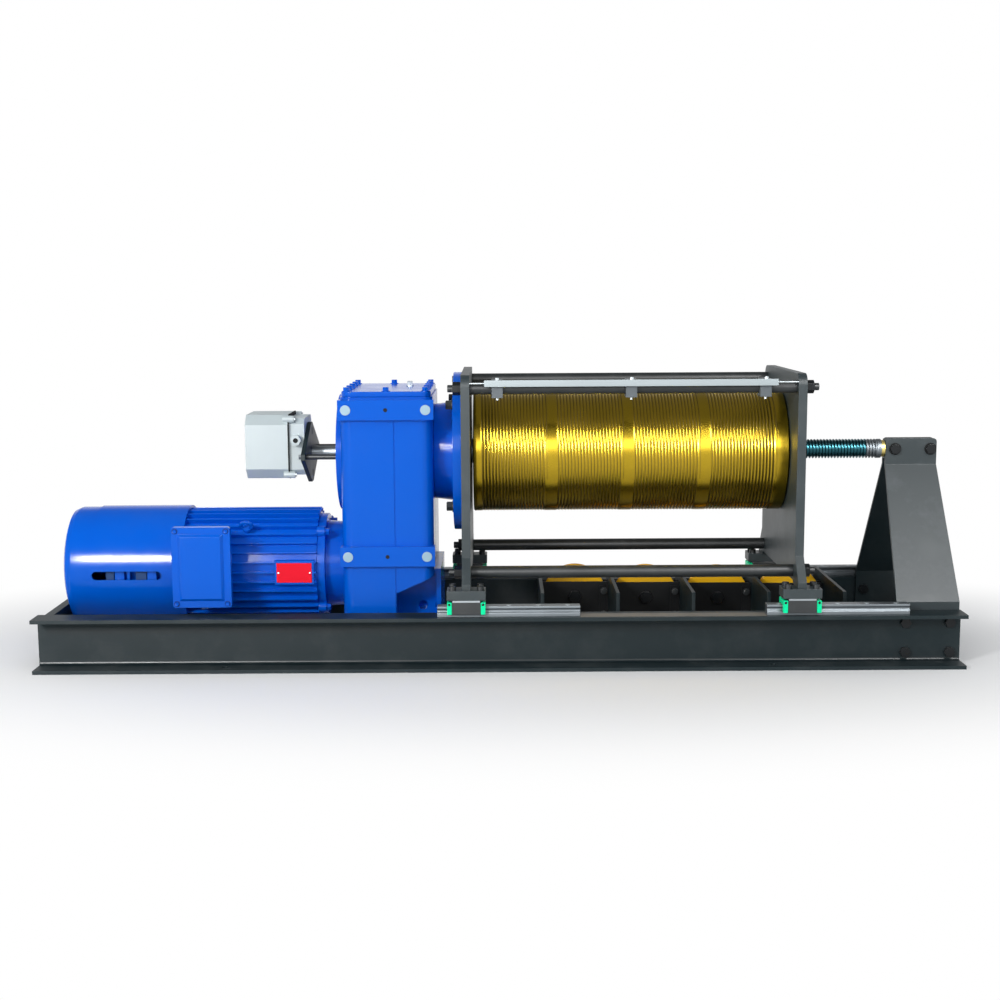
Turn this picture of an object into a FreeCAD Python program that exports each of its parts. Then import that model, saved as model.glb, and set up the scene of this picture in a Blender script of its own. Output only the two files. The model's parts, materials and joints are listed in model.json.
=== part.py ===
import os
import re
import FreeCAD
import Part
import Sketcher

os.makedirs("parts", exist_ok=True)
doc = FreeCAD.newDocument("stage_winch")
sheet = doc.addObject("Spreadsheet::Sheet", "Sizes")
V = FreeCAD.Vector

# Driving dimensions in millimetres. X runs along the drum, Y away from the front, Z up from the floor.
sizes = {
    "base_length": 2540, "base_width": 660, "channel_height": 150, "flange_width": 80,
    "flange_thick": 10, "web_thick": 8, "end_beam_thick": 26, "end_beam_height": 130, "end_plate_thick": 10,
    "anchor_x": 750, "anchor_dia": 18, "anchor_inset": 34, "end_beam_inset": 4,
    "guide_inset": 34, "guide_offset": "=base_width / 2 - guide_inset",
    "guide_width": 34, "guide_height": 29, "guide_length": 388,
    "guide_left_x": -168, "guide_right_x": 727, "guide_gap": 0.4,
    "block_length": 78, "block_width": 68, "block_top": 198, "block_lift": 9,
    "seal_thick": 13, "seal_height": 34,
    "foot_top": 224, "foot_length": 106, "foot_width": 66, "foot_lap": 24,
    "plate_thick": 24, "plate_left_x": -101, "plate_right_x": 808, "plate_top": 801, "plate_half": 268,
    "plate_foot_half": "=guide_offset + foot_lap", "flare_top": 305, "flare_bottom": 240, "plate_round": 32,
    "arch_half": 250, "arch_top": 234, "arch_slope": 8,
    "tie_dia": 34, "tie_end_dia": 20, "tie_offset": 236, "tie_upper_z": 764, "tie_lower_z": 260, "tie_end": 36,
    "tie_nut_dia": 32, "tie_nut_thick": 22,
    "drum_z": 572, "drum_radius": 172, "drum_wall": 20, "drum_left_x": -70, "drum_right_x": 805,
    "rim_chamfer": 4, "hub_inset": 10, "hub_thick": 26, "shaft_dia": 70, "shaft_end_dia": 33,
    "shaft_step_x": -462, "shaft_end_x": -566, "run_gap": 0.05, "free_gap": 0.5,
    "stand_end_gap": 2, "stand_length": 174, "stand_left_x": "=base_length / 2 - stand_end_gap - stand_length",
    "screw_lap": 2, "screw_dia": 55, "screw_left_x": 745, "screw_right_x": "=stand_left_x + screw_lap",
    "journal_dia": 40, "bush_dia": 48,
    "nut_dia": 130, "nut_flange_dia": 180, "nut_flange_thick": 18, "nut_reach": 9,
    "tab_inset": 14, "tab_length": "=stand_length - 2 * tab_inset", "stand_thick": 10, "tab_half": 20,
    "tab_top": 602, "tab_round": 10,
    "tab_bottom": 528, "stand_knee_z": 172, "stand_foot_z": 16, "clamp_height": 56, "clamp_margin": 13,
    "clamp_length": 143, "stand_bolt_dia": 16, "stand_bolt_head": 26, "stand_bolt_thick": 11,
    "tab_bolt_inset": 41, "tab_bolt_pitch": 101, "lip_bolt_inset": 24, "lip_bolt_pitch": 122,
    "lip_bolt_low": 34, "lip_bolt_high": 116, "bolt_gap": 0.5, "bolt_grip": "=2 * tab_half",
    "sheave_x": 228, "sheave_pitch": 212, "sheave_z": 116, "sheave_radius": 95, "sheave_width": 20,
    "groove_depth": 14, "sheave_back_y": 168, "sheave_step": 14, "axle_dia": 24, "cheek_gap": 3,
    "cheek_thick": 8, "cheek_top": 160, "cheek_bottom": 20, "axle_head_dia": 32, "axle_head_thick": 12,
    "partition_thick": 10, "partition_front": 165, "partition_top": 186, "partition_bottom": 16,
    "partition_step": 100,
    "box_left_x": -434, "box_right_x": -180, "box_half": 205, "box_bottom": 95, "box_top": 740,
    "box_round": 32, "cover_thick": 15, "cover_inset": 4, "cover_round": 28, "pad_rise": 14, "pad_height": 55,
    "pad_upper_z": 678, "pad_lower_z": 273, "pad_overhang": 4, "pad_depth": 46, "plug_dia": 28,
    "plug_rise": 2.5, "plug_inset": 22, "lug_thick": 18, "lug_half": 150, "lug_top": 255, "lug_hole": 26,
    "lug_hole_y": 104, "lug_hole_z": 145, "seam_x": -287, "seam_width": 3, "seam_depth": 2.5,
    "wedge_left_x": -285, "wedge_low_z": 195, "wedge_high_z": 242, "wedge_depth": 90,
    "boss_dia": 330, "boss_length": 16, "hub_cone_dia": 270, "hub_cone_end": 284,
    "out_flange_dia": 450, "out_flange_thick": 25,
    "motor_z": 248, "motor_core": 149, "fin_radius": 163, "fin_thick": 4.5, "fin_root": 5, "motor_left_x": -890,
    "motor_right_x": -512, "shield_dia": 248, "shield_rim_dia": 290, "shield_end_dia": 240,
    "shield_left_x": "=motor_right_x", "shield_rim_thick": 22, "collar_length": 4,
    "rim_lug_dia": 30, "rim_lug_radius": 153,
    "cowl_end_gap": 47, "cowl_left_x": "=-base_length / 2 + cowl_end_gap", "cowl_right_x": -886,
    "cowl_radius": 170, "cowl_wall": 4, "cowl_dome": 25, "cap_length": 82, "cap_step": 3,
    "slot_inset": 84, "slot_left_x": "=cowl_left_x + slot_inset", "slot_end_gap": 58,
    "slot_length": "=cowl_right_x - slot_left_x - slot_end_gap", "slot_low": 231,
    "slot_height": 24, "slot_depth": 60,
    "brake_radius": 138, "brake_inset": 110, "brake_left_x": "=cowl_left_x + brake_inset",
    "brake_length": "=motor_left_x - brake_left_x",
    "term_left_x": -893, "term_length": 157, "term_low": 171, "term_height": 219, "term_back": 130,
    "term_inset": 10, "term_pad": 172, "term_front": 238, "lid_lap": 2, "lid_thick": 20, "lid_round": 8,
    "lid_panel": 8, "panel_inset": 17, "panel_bevel": 7,
    "gland_dia": 34, "gland_length": 24,
    "eye_x": -709, "eye_ring": 15, "eye_bar": 5, "eye_stem": 4, "eye_collar_dia": 22,
    "plate_x": -622, "plate_length": 98, "plate_height": 55, "badge_rim": 6, "badge_depth": 30,
    "badge_thick": 2,
    "switch_cover_x": -710, "switch_base_x": -589, "switch_plate_x": -545, "switch_half_y": 98,
    "switch_half_z": 90, "switch_rise": 22, "switch_chamfer": 28, "switch_step": 10,
    "switch_base_chamfer": 16, "switch_lug_dia": 20, "switch_lug_inset": 12, "switch_lug_length": 16,
    "switch_plate_thick": 12, "switch_diag_y": 178, "switch_diag_z": 85, "switch_tip": 8,
    "switch_crown": 14, "standoff_dia": 15, "standoff_offset": 150,
    "switch_gland_dia": 28, "switch_gland_rise": 20, "switch_gland_length": 24, "shaft_nose_gap": 6,
    "keeper_left_x": -37, "keeper_length": 789, "keeper_height": 18, "keeper_thick": 10,
    "keeper_z": 770, "bracket_width": 30, "bracket_low": 740, "bracket_half": 22, "bracket_reach": 11,
    "bracket_x": -2, "bracket_pitch": 361,
}
for row, alias in enumerate(sizes, 1):
    sheet.set(f"A{row}", alias)
    sheet.setAlias(f"B{row}", alias)
for row, value in enumerate(sizes.values(), 1):
    sheet.set(f"B{row}", str(value))
doc.recompute()


def cell(text):
    words = re.compile(r"[a-z][a-z_]*")
    return words.sub(lambda m: "Sizes." + m.group() if m.group() in sizes else m.group(), str(text))


def bind(obj, **texts):
    for prop, text in texts.items():
        obj.setExpression(prop.replace("__", "."), cell(text))
    return obj


def at(obj, x, y, z):
    return bind(obj, Placement__Base__x=x, Placement__Base__y=y, Placement__Base__z=z)


turns = {"X": (V(0, 1, 0), 90), "Y": (V(1, 0, 0), -90), "Z": (V(0, 0, 1), 0)}


def box(name, x, y, z, length, width, height):
    obj = doc.addObject("Part::Box", name)
    bind(obj, Length=length, Width=width, Height=height)
    return at(obj, x, y, z)


def rod(name, axis, x, y, z, radius, length):
    obj = doc.addObject("Part::Cylinder", name)
    bind(obj, Radius=radius, Height=length)
    obj.Placement = FreeCAD.Placement(V(), FreeCAD.Rotation(*turns[axis]))
    return at(obj, x, y, z)


def hexagon(name, axis, x, y, z, across, length):
    obj = doc.addObject("Part::Prism", name)
    obj.Polygon = 6
    bind(obj, Circumradius=f"({across}) / sqrt(3)", Height=length)
    obj.Placement = FreeCAD.Placement(V(), FreeCAD.Rotation(*turns[axis]))
    return at(obj, x, y, z)


def fuse(name, *shapes):
    obj = doc.addObject("Part::MultiFuse", name)
    obj.Shapes = list(shapes)
    obj.Refine = True
    return obj


def cut(name, base, *tools):
    obj = doc.addObject("Part::Cut", name)
    obj.Base = base
    obj.Tool = tools[0] if len(tools) == 1 else fuse(name + "_tools", *tools)
    return obj


def group(name, *shapes):
    obj = doc.addObject("Part::Compound", name)
    obj.Links = list(shapes)
    return obj


def outline(body, role, points):
    sketch = body.newObject("Sketcher::SketchObject", body.Name + "_outline")
    plane = [o for o in body.Origin.OriginFeatures if o.Role == role][0]
    sketch.AttachmentSupport = [(plane, "")]
    sketch.MapMode = "FlatFace"
    corners = []
    for across, up in points:
        sheet.set("D1", "=" + across)
        sheet.set("D2", "=" + up)
        sheet.recompute()
        corners.append(V(float(sheet.D1), float(sheet.D2), 0))
    count = len(corners)
    for i in range(count):
        sketch.addGeometry(Part.LineSegment(corners[i], corners[(i + 1) % count]), False)
    for i in range(count):
        sketch.addConstraint(Sketcher.Constraint("Coincident", i, 2, (i + 1) % count, 1))
    for i, (across, up) in enumerate(points):
        for kind, text, value in (("DistanceX", across, corners[i].x), ("DistanceY", up, corners[i].y)):
            n = sketch.addConstraint(Sketcher.Constraint(kind, -1, 1, i, 1, value))
            sketch.setExpression(f"Constraints[{n}]", cell(text))
    return sketch


def slab(name, role, points, length):
    body = doc.addObject("PartDesign::Body", name)
    sketch = outline(body, role, points)
    pad = body.newObject("PartDesign::Pad", name + "_pad")
    pad.Profile = sketch
    bind(pad, Length=length)
    return body


def turned(name, points, x, y, z):
    body = doc.addObject("PartDesign::Body", name)
    sketch = outline(body, "XY_Plane", points)
    spin = body.newObject("PartDesign::Revolution", name + "_spin")
    spin.Profile = sketch
    spin.ReferenceAxis = (sketch, ["H_Axis"])
    spin.Angle = 360
    return at(body, x, y, z)


def rounded(name, base, radius, pick):
    doc.recompute()
    obj = doc.addObject("Part::Fillet", name)
    obj.Base = base
    obj.Edges = [(i, radius, radius) for i, e in enumerate(base.Shape.Edges, 1) if pick(e)]
    return obj


def along(edge, axis):
    ends = [v.Point for v in edge.Vertexes]
    return len(ends) == 2 and (ends[1] - ends[0]).normalize().getAngle(axis) % 3.14159 < 0.01


nodes = []


def keep(label, obj):
    obj.Label = label
    nodes.append(obj)
    return obj


# Base frame: two outward-facing channels, end beams, guide rails.
wall = "(base_width / 2 - flange_width)"
clear = "(base_width / 2 - flange_width - stand_thick)"
for label, side in (("channel_front", "-1"), ("channel_rear", "1")):
    profile = [("base_width / 2", "0"), (wall, "0"), (wall, "channel_height"),
               ("base_width / 2", "channel_height"), ("base_width / 2", "channel_height - flange_thick"),
               (wall + " + web_thick", "channel_height - flange_thick"),
               (wall + " + web_thick", "flange_thick"), ("base_width / 2", "flange_thick")]
    body = slab(label + "_bar", "YZ_Plane", [(f"{side} * ({a})", b) for a, b in profile], "base_length")
    at(body, "-base_length / 2", "0", "0")
    holes = [rod(f"{label}_anchor{i}", "Z", f"{s} * anchor_x", f"{side} * (base_width / 2 - anchor_inset)",
                 "-1", "anchor_dia / 2", "flange_thick + 2") for i, s in enumerate(("-1", "1"))]
    for i in range(2):
        for j, level in enumerate(("lip_bolt_low", "lip_bolt_high")):
            holes.append(rod(f"{label}_bolt{i}{j}", "Y",
                             f"stand_left_x + lip_bolt_inset + {i} * lip_bolt_pitch",
                             f"{side} * ({wall} + web_thick / 2) - web_thick", level,
                             "stand_bolt_dia / 2 + bolt_gap", "2 * web_thick"))
    keep(label, cut(label, body, *holes))

keep("end_beam_left", box("end_beam_left", "-base_length / 2 + end_beam_inset", "-" + wall, "flange_thick",
                          "end_beam_thick", "2 * " + wall, "end_beam_height"))
keep("end_beam_right", box("end_beam_right", "base_length / 2 - end_beam_inset - end_plate_thick", "-" + clear,
                           "flange_thick", "end_plate_thick", "2 * " + clear, "end_beam_height"))

for label, x, side in (("rail_front_left", "guide_left_x", "-1"), ("rail_front_right", "guide_right_x", "-1"),
                       ("rail_rear_left", "guide_left_x", "1"), ("rail_rear_right", "guide_right_x", "1")):
    right = [("guide_width / 2", "0"), ("guide_width / 2", "guide_height * 0.34"),
             ("guide_width * 0.38", "guide_height * 0.5"), ("guide_width * 0.38", "guide_height * 0.66"),
             ("guide_width / 2", "guide_height * 0.8"), ("guide_width / 2", "guide_height")]
    left = [("-" + a, b) for a, b in reversed(right)]
    body = slab(label, "YZ_Plane", right + left, "guide_length")
    keep(label, at(body, x, f"{side} * guide_offset", "channel_height"))

# Deflector sheaves between cross partitions, each a step nearer the front than the last.
parts = []
for i in range(5):
    body = slab(f"partition_{i + 1}", "YZ_Plane",
                [("-" + wall, "partition_bottom"), (wall, "partition_bottom"), (wall, "partition_top"),
                 ("-partition_front", "partition_top"), ("-partition_front", "partition_step"),
                 ("-" + wall, "partition_step")], "partition_thick")
    parts.append(at(body, f"sheave_x + ({i} - 0.5) * sheave_pitch - partition_thick / 2", "0", "0"))
keep("partition_plates", group("partition_plates", *parts))

axles = []
for i in range(4):
    centre = f"(sheave_back_y - {i} * sheave_step)"
    x = f"(sheave_x + {i} * sheave_pitch)"
    body = doc.addObject("PartDesign::Body", f"sheave_{i + 1}")
    sketch = outline(body, "XY_Plane",
                     [("-sheave_width / 2", "axle_dia / 2 + run_gap"), ("-sheave_width / 2", "sheave_radius"),
                      ("-sheave_width * 0.38", "sheave_radius"),
                      ("-sheave_width * 0.15", "sheave_radius - groove_depth"),
                      ("sheave_width * 0.15", "sheave_radius - groove_depth"),
                      ("sheave_width * 0.38", "sheave_radius"),
                      ("sheave_width / 2", "sheave_radius"), ("sheave_width / 2", "axle_dia / 2 + run_gap")])
    spin = body.newObject("PartDesign::Revolution", f"sheave_{i + 1}_spin")
    spin.Profile = sketch
    spin.ReferenceAxis = (sketch, ["H_Axis"])
    spin.Angle = 360
    body.Placement = FreeCAD.Placement(V(), FreeCAD.Rotation(V(0, 0, 1), 90))
    keep(f"sheave_{i + 1}", at(body, x, centre, "sheave_z"))
    reach = "(sheave_width / 2 + cheek_gap)"
    cheeks = []
    for j, y in enumerate((f"{centre} - {reach} - cheek_thick", f"{centre} + {reach}")):
        plain = box(f"cheek_{i + 1}{j}_plain", f"{x} - sheave_pitch / 2 + partition_thick / 2", y,
                    "cheek_bottom", "sheave_pitch - partition_thick", "cheek_thick", "cheek_top - cheek_bottom")
        hole = rod(f"cheek_{i + 1}{j}_hole", "Y", x, f"{y} - 1", "sheave_z", "axle_dia / 2", "cheek_thick + 2")
        cheeks.append(cut(f"cheek_{i + 1}{j}", plain, hole))
    keep(f"sheave_cheeks_{i + 1}", group(f"sheave_cheeks_{i + 1}", *cheeks))
    pin = rod(f"axle_{i + 1}_pin", "Y", x, f"{centre} - {reach} - cheek_thick", "sheave_z", "axle_dia / 2",
              f"2 * {reach} + 2 * cheek_thick")
    head = hexagon(f"axle_{i + 1}_head", "Y", x, f"{centre} - {reach} - cheek_thick - axle_head_thick",
                   "sheave_z", "axle_head_dia", "axle_head_thick")
    axles.append(fuse(f"axle_{i + 1}", pin, head))
keep("sheave_axles", group("sheave_axles", *axles))

# Screw stand: two bent plates bolted over the flat tongue that holds the lead screw still.
for label, side in (("stand_front", "-1"), ("stand_rear", "1")):
    outer = [("tab_half", "tab_top"), ("tab_half", "tab_bottom"), (wall, "stand_knee_z"),
             (wall, "stand_foot_z")]
    inner = [(f"{a} - stand_thick", b) for a, b in reversed(outer)]
    body = slab(label + "_plate", "YZ_Plane", [(f"{side} * ({a})", b) for a, b in outer + inner],
                "stand_length")
    at(body, "stand_left_x", "0", "0")
    tapers = []
    for end, edge, corner, past in (("left", "tab_inset", "0", "-stand_thick"),
                                    ("right", "tab_inset + tab_length", "stand_length",
                                     "stand_length + stand_thick")):
        taper = slab(f"{label}_{end}_slope", "XZ_Plane", [
            (edge, "tab_top + stand_thick"), (edge, "tab_bottom"), (corner, "stand_knee_z"),
            (past, "stand_knee_z"), (past, "tab_top + stand_thick")], "base_width")
        tapers.append(at(taper, "stand_left_x", "base_width / 2", "0"))
    soft = rounded(label + "_soft", cut(label + "_tapered", body, *tapers), sizes["tab_round"],
                   lambda e: along(e, V(0, 1, 0)) and e.BoundBox.ZMin > sizes["tab_top"] - 1)
    holes = []
    for i in range(2):
        holes.append(rod(f"{label}_tab{i}", "Y", f"stand_left_x + tab_bolt_inset + {i} * tab_bolt_pitch",
                         f"{side} * (tab_half - stand_thick / 2) - stand_thick", "drum_z",
                         "stand_bolt_dia / 2 + bolt_gap", "2 * stand_thick"))
        for j, level in enumerate(("lip_bolt_low", "lip_bolt_high")):
            holes.append(rod(f"{label}_lip{i}{j}", "Y", f"stand_left_x + lip_bolt_inset + {i} * lip_bolt_pitch",
                             f"{side} * ({wall} - stand_thick / 2) - stand_thick", level,
                             "stand_bolt_dia / 2 + bolt_gap", "2 * stand_thick"))
    keep(label, cut(label, soft, *holes))

clamp_plain = box("clamp_plain", "stand_left_x + clamp_margin", "-(tab_half - stand_thick)",
                  "drum_z - clamp_height / 2", "clamp_length",
                  "2 * (tab_half - stand_thick)", "clamp_height")
holes = [rod(f"clamp_hole{i}", "Y", f"stand_left_x + tab_bolt_inset + {i} * tab_bolt_pitch",
             "-bolt_grip / 2", "drum_z", "stand_bolt_dia / 2", "bolt_grip") for i in range(2)]
keep("clamp_block", cut("clamp_block", clamp_plain, *holes))

bush_end = "stand_left_x + clamp_margin - screw_right_x"
keep("screw_bush", turned("screw_bush", [
    ("0", "journal_dia / 2"), ("0", "bush_dia / 2"), (bush_end, "bush_dia / 2"), (bush_end, "journal_dia / 2")],
    "screw_right_x", "0", "drum_z"))
keep("lead_screw", turned("lead_screw", [
    ("0", "0"), ("0", "screw_dia / 2"), ("screw_right_x - screw_left_x", "screw_dia / 2"),
    ("screw_right_x - screw_left_x", "journal_dia / 2"),
    ("stand_left_x + clamp_margin - screw_left_x", "journal_dia / 2"),
    ("stand_left_x + clamp_margin - screw_left_x", "0")], "screw_left_x", "0", "drum_z"))

bolts = []
for i in range(2):
    x = f"stand_left_x + tab_bolt_inset + {i} * tab_bolt_pitch"
    pieces = [rod(f"tab_shank{i}", "Y", x, "-bolt_grip / 2", "drum_z", "stand_bolt_dia / 2", "bolt_grip")]
    for j, y in enumerate(("-bolt_grip / 2 - stand_bolt_thick", "bolt_grip / 2")):
        pieces.append(hexagon(f"tab_head{i}{j}", "Y", x, y, "drum_z", "stand_bolt_head", "stand_bolt_thick"))
    bolts.append(fuse(f"tab_bolt{i}", *pieces))
for k, side in enumerate(("-1", "1")):
    for i in range(2):
        for j, level in enumerate(("lip_bolt_low", "lip_bolt_high")):
            x = f"stand_left_x + lip_bolt_inset + {i} * lip_bolt_pitch"
            span = "web_thick + stand_thick"
            middle = f"({wall} + web_thick / 2 - stand_thick / 2)"
            pieces = [rod(f"lip_shank{k}{i}{j}", "Y", x, f"{side} * {middle} - ({span}) / 2", level,
                          "stand_bolt_dia / 2", span)]
            for m, place in enumerate((f"{wall} + web_thick + stand_bolt_thick / 2",
                                       f"{wall} - stand_thick - stand_bolt_thick / 2")):
                pieces.append(hexagon(f"lip_head{k}{i}{j}{m}", "Y", x,
                                      f"{side} * ({place}) - stand_bolt_thick / 2", level,
                                      "stand_bolt_head", "stand_bolt_thick"))
            bolts.append(fuse(f"lip_bolt{k}{i}{j}", *pieces))
keep("stand_bolts", group("stand_bolts", *bolts))

# Carriage: end plates on guide blocks, tied by four rods.
centres = {"left": "(plate_left_x + plate_thick / 2)", "right": "(plate_right_x + plate_thick / 2)"}
ties = {"upper_front": ("-1", "tie_upper_z"), "upper_rear": ("1", "tie_upper_z"),
        "lower_front": ("-1", "tie_lower_z"), "lower_rear": ("1", "tie_lower_z")}
bores = {"left": "shaft_dia / 2 + free_gap", "right": "nut_dia / 2 + run_gap"}
for end in ("left", "right"):
    half = [("plate_half", "plate_top"), ("plate_half", "flare_top"), ("plate_foot_half", "flare_bottom"),
            ("plate_foot_half", "foot_top"), ("arch_half", "foot_top"), ("arch_half", "arch_top - arch_slope"),
            ("arch_half - arch_slope", "arch_top")]
    body = slab(f"end_plate_{end}_flat", "YZ_Plane", half + [("-" + a if " " not in a else f"-({a})", b)
                                                           for a, b in reversed(half)], "plate_thick")
    at(body, f"plate_{end}_x", "0", "0")
    soft = rounded(f"end_plate_{end}_soft", body, sizes["plate_round"],
                   lambda e: along(e, V(1, 0, 0)) and e.BoundBox.ZMin > sizes["plate_top"] - 1)
    holes = [rod(f"end_plate_{end}_bore", "X", f"plate_{end}_x - 1", "0", "drum_z", bores[end],
                 "plate_thick + 2")]
    for name, (side, level) in ties.items():
        holes.append(rod(f"end_plate_{end}_{name}", "X", f"plate_{end}_x - 1", f"{side} * tie_offset", level,
                         "tie_end_dia / 2", "plate_thick + 2"))
    keep(f"end_plate_{end}", cut(f"end_plate_{end}", soft, *holes))

nuts = []
for name, (side, level) in ties.items():
    start = "plate_left_x - tie_end"
    length = "plate_right_x + plate_thick - plate_left_x + 2 * tie_end"
    neck = "tie_end + plate_thick"
    keep(f"tie_rod_{name}", turned(f"tie_rod_{name}", [
        ("0", "0"), ("0", "tie_end_dia / 2"), (neck, "tie_end_dia / 2"), (neck, "tie_dia / 2"),
        (f"{length} - ({neck})", "tie_dia / 2"), (f"{length} - ({neck})", "tie_end_dia / 2"),
        (length, "tie_end_dia / 2"), (length, "0")], start, f"{side} * tie_offset", level))
    for end, x in (("left", "plate_left_x - tie_nut_thick"), ("right", "plate_right_x + plate_thick")):
        solid = hexagon(f"nut_{name}_{end}_solid", "X", x, f"{side} * tie_offset", level, "tie_nut_dia",
                        "tie_nut_thick")
        hole = rod(f"nut_{name}_{end}_hole", "X", f"{x} - 1", f"{side} * tie_offset", level, "tie_end_dia / 2",
                   "tie_nut_thick + 2")
        nuts.append(cut(f"nut_{name}_{end}", solid, hole))
keep("tie_rod_nuts", group("tie_rod_nuts", *nuts))

blocks, seals, feet = [], [], []
for end, centre in centres.items():
    for name, side in (("front", "-1"), ("rear", "1")):
        slot = "(guide_width / 2 + guide_gap)"
        crown = "channel_height + guide_height + guide_gap"
        right = [("block_width / 2", "channel_height + block_lift"), ("block_width / 2", "block_top")]
        inner = [(slot, "channel_height + block_lift"), (slot, crown)]
        ring = right + [("-" + a, b) for a, b in reversed(right)] + [("-" + a, b) for a, b in inner]
        ring += list(reversed(inner))
        body = slab(f"block_{end}_{name}", "YZ_Plane", ring, "block_length")
        blocks.append(at(body, f"{centre} - block_length / 2", f"{side} * guide_offset", "0"))
        lower = [(a, b.replace("block_top", "channel_height + block_lift + seal_height")) for a, b in ring]
        for j, x in enumerate((f"{centre} - block_length / 2 - seal_thick", f"{centre} + block_length / 2")):
            body = slab(f"seal_{end}_{name}{j}", "YZ_Plane", lower, "seal_thick")
            seals.append(at(body, x, f"{side} * guide_offset", "0"))
        feet.append(box(f"foot_{end}_{name}", f"{centre} - foot_length / 2",
                        f"{side} * guide_offset - foot_width / 2", "block_top", "foot_length",
                        "foot_width", "foot_top - block_top"))
keep("guide_blocks", group("guide_blocks", *blocks))
keep("block_seals", group("block_seals", *seals))
keep("block_feet", group("block_feet", *feet))

# Drum: barrel, two hub discs, the drive shaft and the nut that runs on the screw.
keep("drum_barrel", turned("drum_barrel", [
    ("0", "drum_radius - drum_wall"), ("0", "drum_radius - rim_chamfer"), ("rim_chamfer", "drum_radius"),
    ("drum_right_x - drum_left_x - rim_chamfer", "drum_radius"),
    ("drum_right_x - drum_left_x", "drum_radius - rim_chamfer"),
    ("drum_right_x - drum_left_x", "drum_radius - drum_wall")], "drum_left_x", "0", "drum_z"))
for label, x, bore in (("drum_hub_left", "drum_left_x + hub_inset", "shaft_dia / 2"),
                       ("drum_hub_right", "drum_right_x - hub_inset - hub_thick", "nut_dia / 2")):
    keep(label, turned(label, [
        ("0", bore), ("0", "drum_radius - drum_wall"), ("hub_thick", "drum_radius - drum_wall"),
        ("hub_thick", bore)], x, "0", "drum_z"))
keep("drum_shaft", turned("drum_shaft", [
    ("0", "0"), ("0", "shaft_end_dia / 2"), ("shaft_step_x - shaft_end_x", "shaft_end_dia / 2"),
    ("shaft_step_x - shaft_end_x", "shaft_dia / 2"),
    ("drum_left_x + hub_inset + hub_thick - shaft_end_x", "shaft_dia / 2"),
    ("drum_left_x + hub_inset + hub_thick - shaft_end_x", "0")], "shaft_end_x", "0", "drum_z"))
hub_face = "(drum_right_x - hub_inset - hub_thick)"
nut_end = f"(nut_flange_thick + plate_right_x + plate_thick + nut_reach - {hub_face})"
keep("lead_nut", turned("lead_nut", [
    ("0", "screw_dia / 2 + run_gap"), ("0", "nut_flange_dia / 2"), ("nut_flange_thick", "nut_flange_dia / 2"),
    ("nut_flange_thick", "nut_dia / 2"), (nut_end, "nut_dia / 2"), (nut_end, "screw_dia / 2 + run_gap")],
    f"{hub_face} - nut_flange_thick", "0", "drum_z"))

# Gearbox: rounded case with raised pads, a lower lug, a bearing boss and a flanged output hub.
case = box("case_plain", "box_left_x", "-box_half", "box_bottom", "box_right_x - box_left_x", "2 * box_half",
           "box_top - box_bottom")
case = rounded("case_soft", case, sizes["box_round"], lambda e: along(e, V(0, 0, 1)))
pads = [box(f"pad_{i}", "box_left_x - pad_overhang", "-box_half - pad_rise", level,
            "box_right_x - box_left_x + 2 * pad_overhang", "pad_depth", "pad_height")
        for i, level in enumerate(("pad_upper_z", "pad_lower_z"))]
lug = cut("lug", box("lug_plain", "box_right_x - 1", "-lug_half", "box_bottom", "lug_thick", "2 * lug_half",
                     "lug_top - box_bottom"),
          rod("lug_bore", "X", "box_right_x - 2", "-lug_hole_y", "lug_hole_z", "lug_hole / 2", "lug_thick + 4"))
boss = rod("boss", "X", "box_left_x - boss_length", "0", "drum_z", "boss_dia / 2", "boss_length + 2")
whole = fuse("case_whole", case, *pads, lug, boss)
wedge = slab("case_wedge", "XZ_Plane", [
    ("wedge_left_x", "box_bottom - 1"), ("wedge_left_x", "wedge_low_z"), ("box_right_x", "wedge_high_z"),
    ("box_right_x + pad_overhang", "wedge_high_z"), ("box_right_x + pad_overhang", "box_bottom - 1")],
    "2 * wedge_depth")
at(wedge, "0", "-box_half + wedge_depth", "0")
seam = box("case_seam", "seam_x", "-box_half - 1", "box_bottom - 1", "seam_width", "seam_depth + 1",
           "box_top - box_bottom + 2")
foot_eye = rod("foot_eye", "Y", "(wedge_left_x + 2 * box_right_x) / 3", "-box_half", "lug_hole_z",
               "lug_hole / 2", "wedge_depth + lug_hole")
keep("gearbox_housing", cut("gearbox_housing", whole, wedge, seam, foot_eye,
                            rod("case_bore", "X", "box_left_x - boss_length - 1", "0", "drum_z",
                                "shaft_dia / 2 + run_gap", "box_right_x - box_left_x + boss_length + 2")))
cover = box("cover_plain", "box_left_x + cover_inset", "-box_half + cover_inset", "box_top",
            "box_right_x - box_left_x - 2 * cover_inset", "2 * (box_half - cover_inset)", "cover_thick")
keep("gearbox_cover", rounded("gearbox_cover", cover, sizes["cover_round"], lambda e: along(e, V(0, 0, 1))))
plugs = []
for i, level in enumerate(("pad_upper_z", "pad_lower_z")):
    for j, x in enumerate(("box_left_x - pad_overhang + plug_inset",
                           "box_right_x + pad_overhang - plug_inset")):
        plugs.append(rod(f"plug_{i}{j}", "Y", x, "-box_half - pad_rise - plug_rise",
                         f"{level} + pad_height / 2", "plug_dia / 2", "plug_rise"))
keep("gearbox_plugs", group("gearbox_plugs", *plugs))
flange_x = "(plate_left_x - box_right_x)"
keep("output_flange", turned("output_flange", [
    ("0", "shaft_dia / 2 + free_gap"), ("0", "hub_cone_dia / 2"),
    (f"{flange_x} - out_flange_thick", "hub_cone_end / 2"),
    (f"{flange_x} - out_flange_thick", "out_flange_dia / 2"), (flange_x, "out_flange_dia / 2"),
    (flange_x, "shaft_dia / 2 + free_gap")], "box_right_x", "0", "drum_z"))

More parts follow.
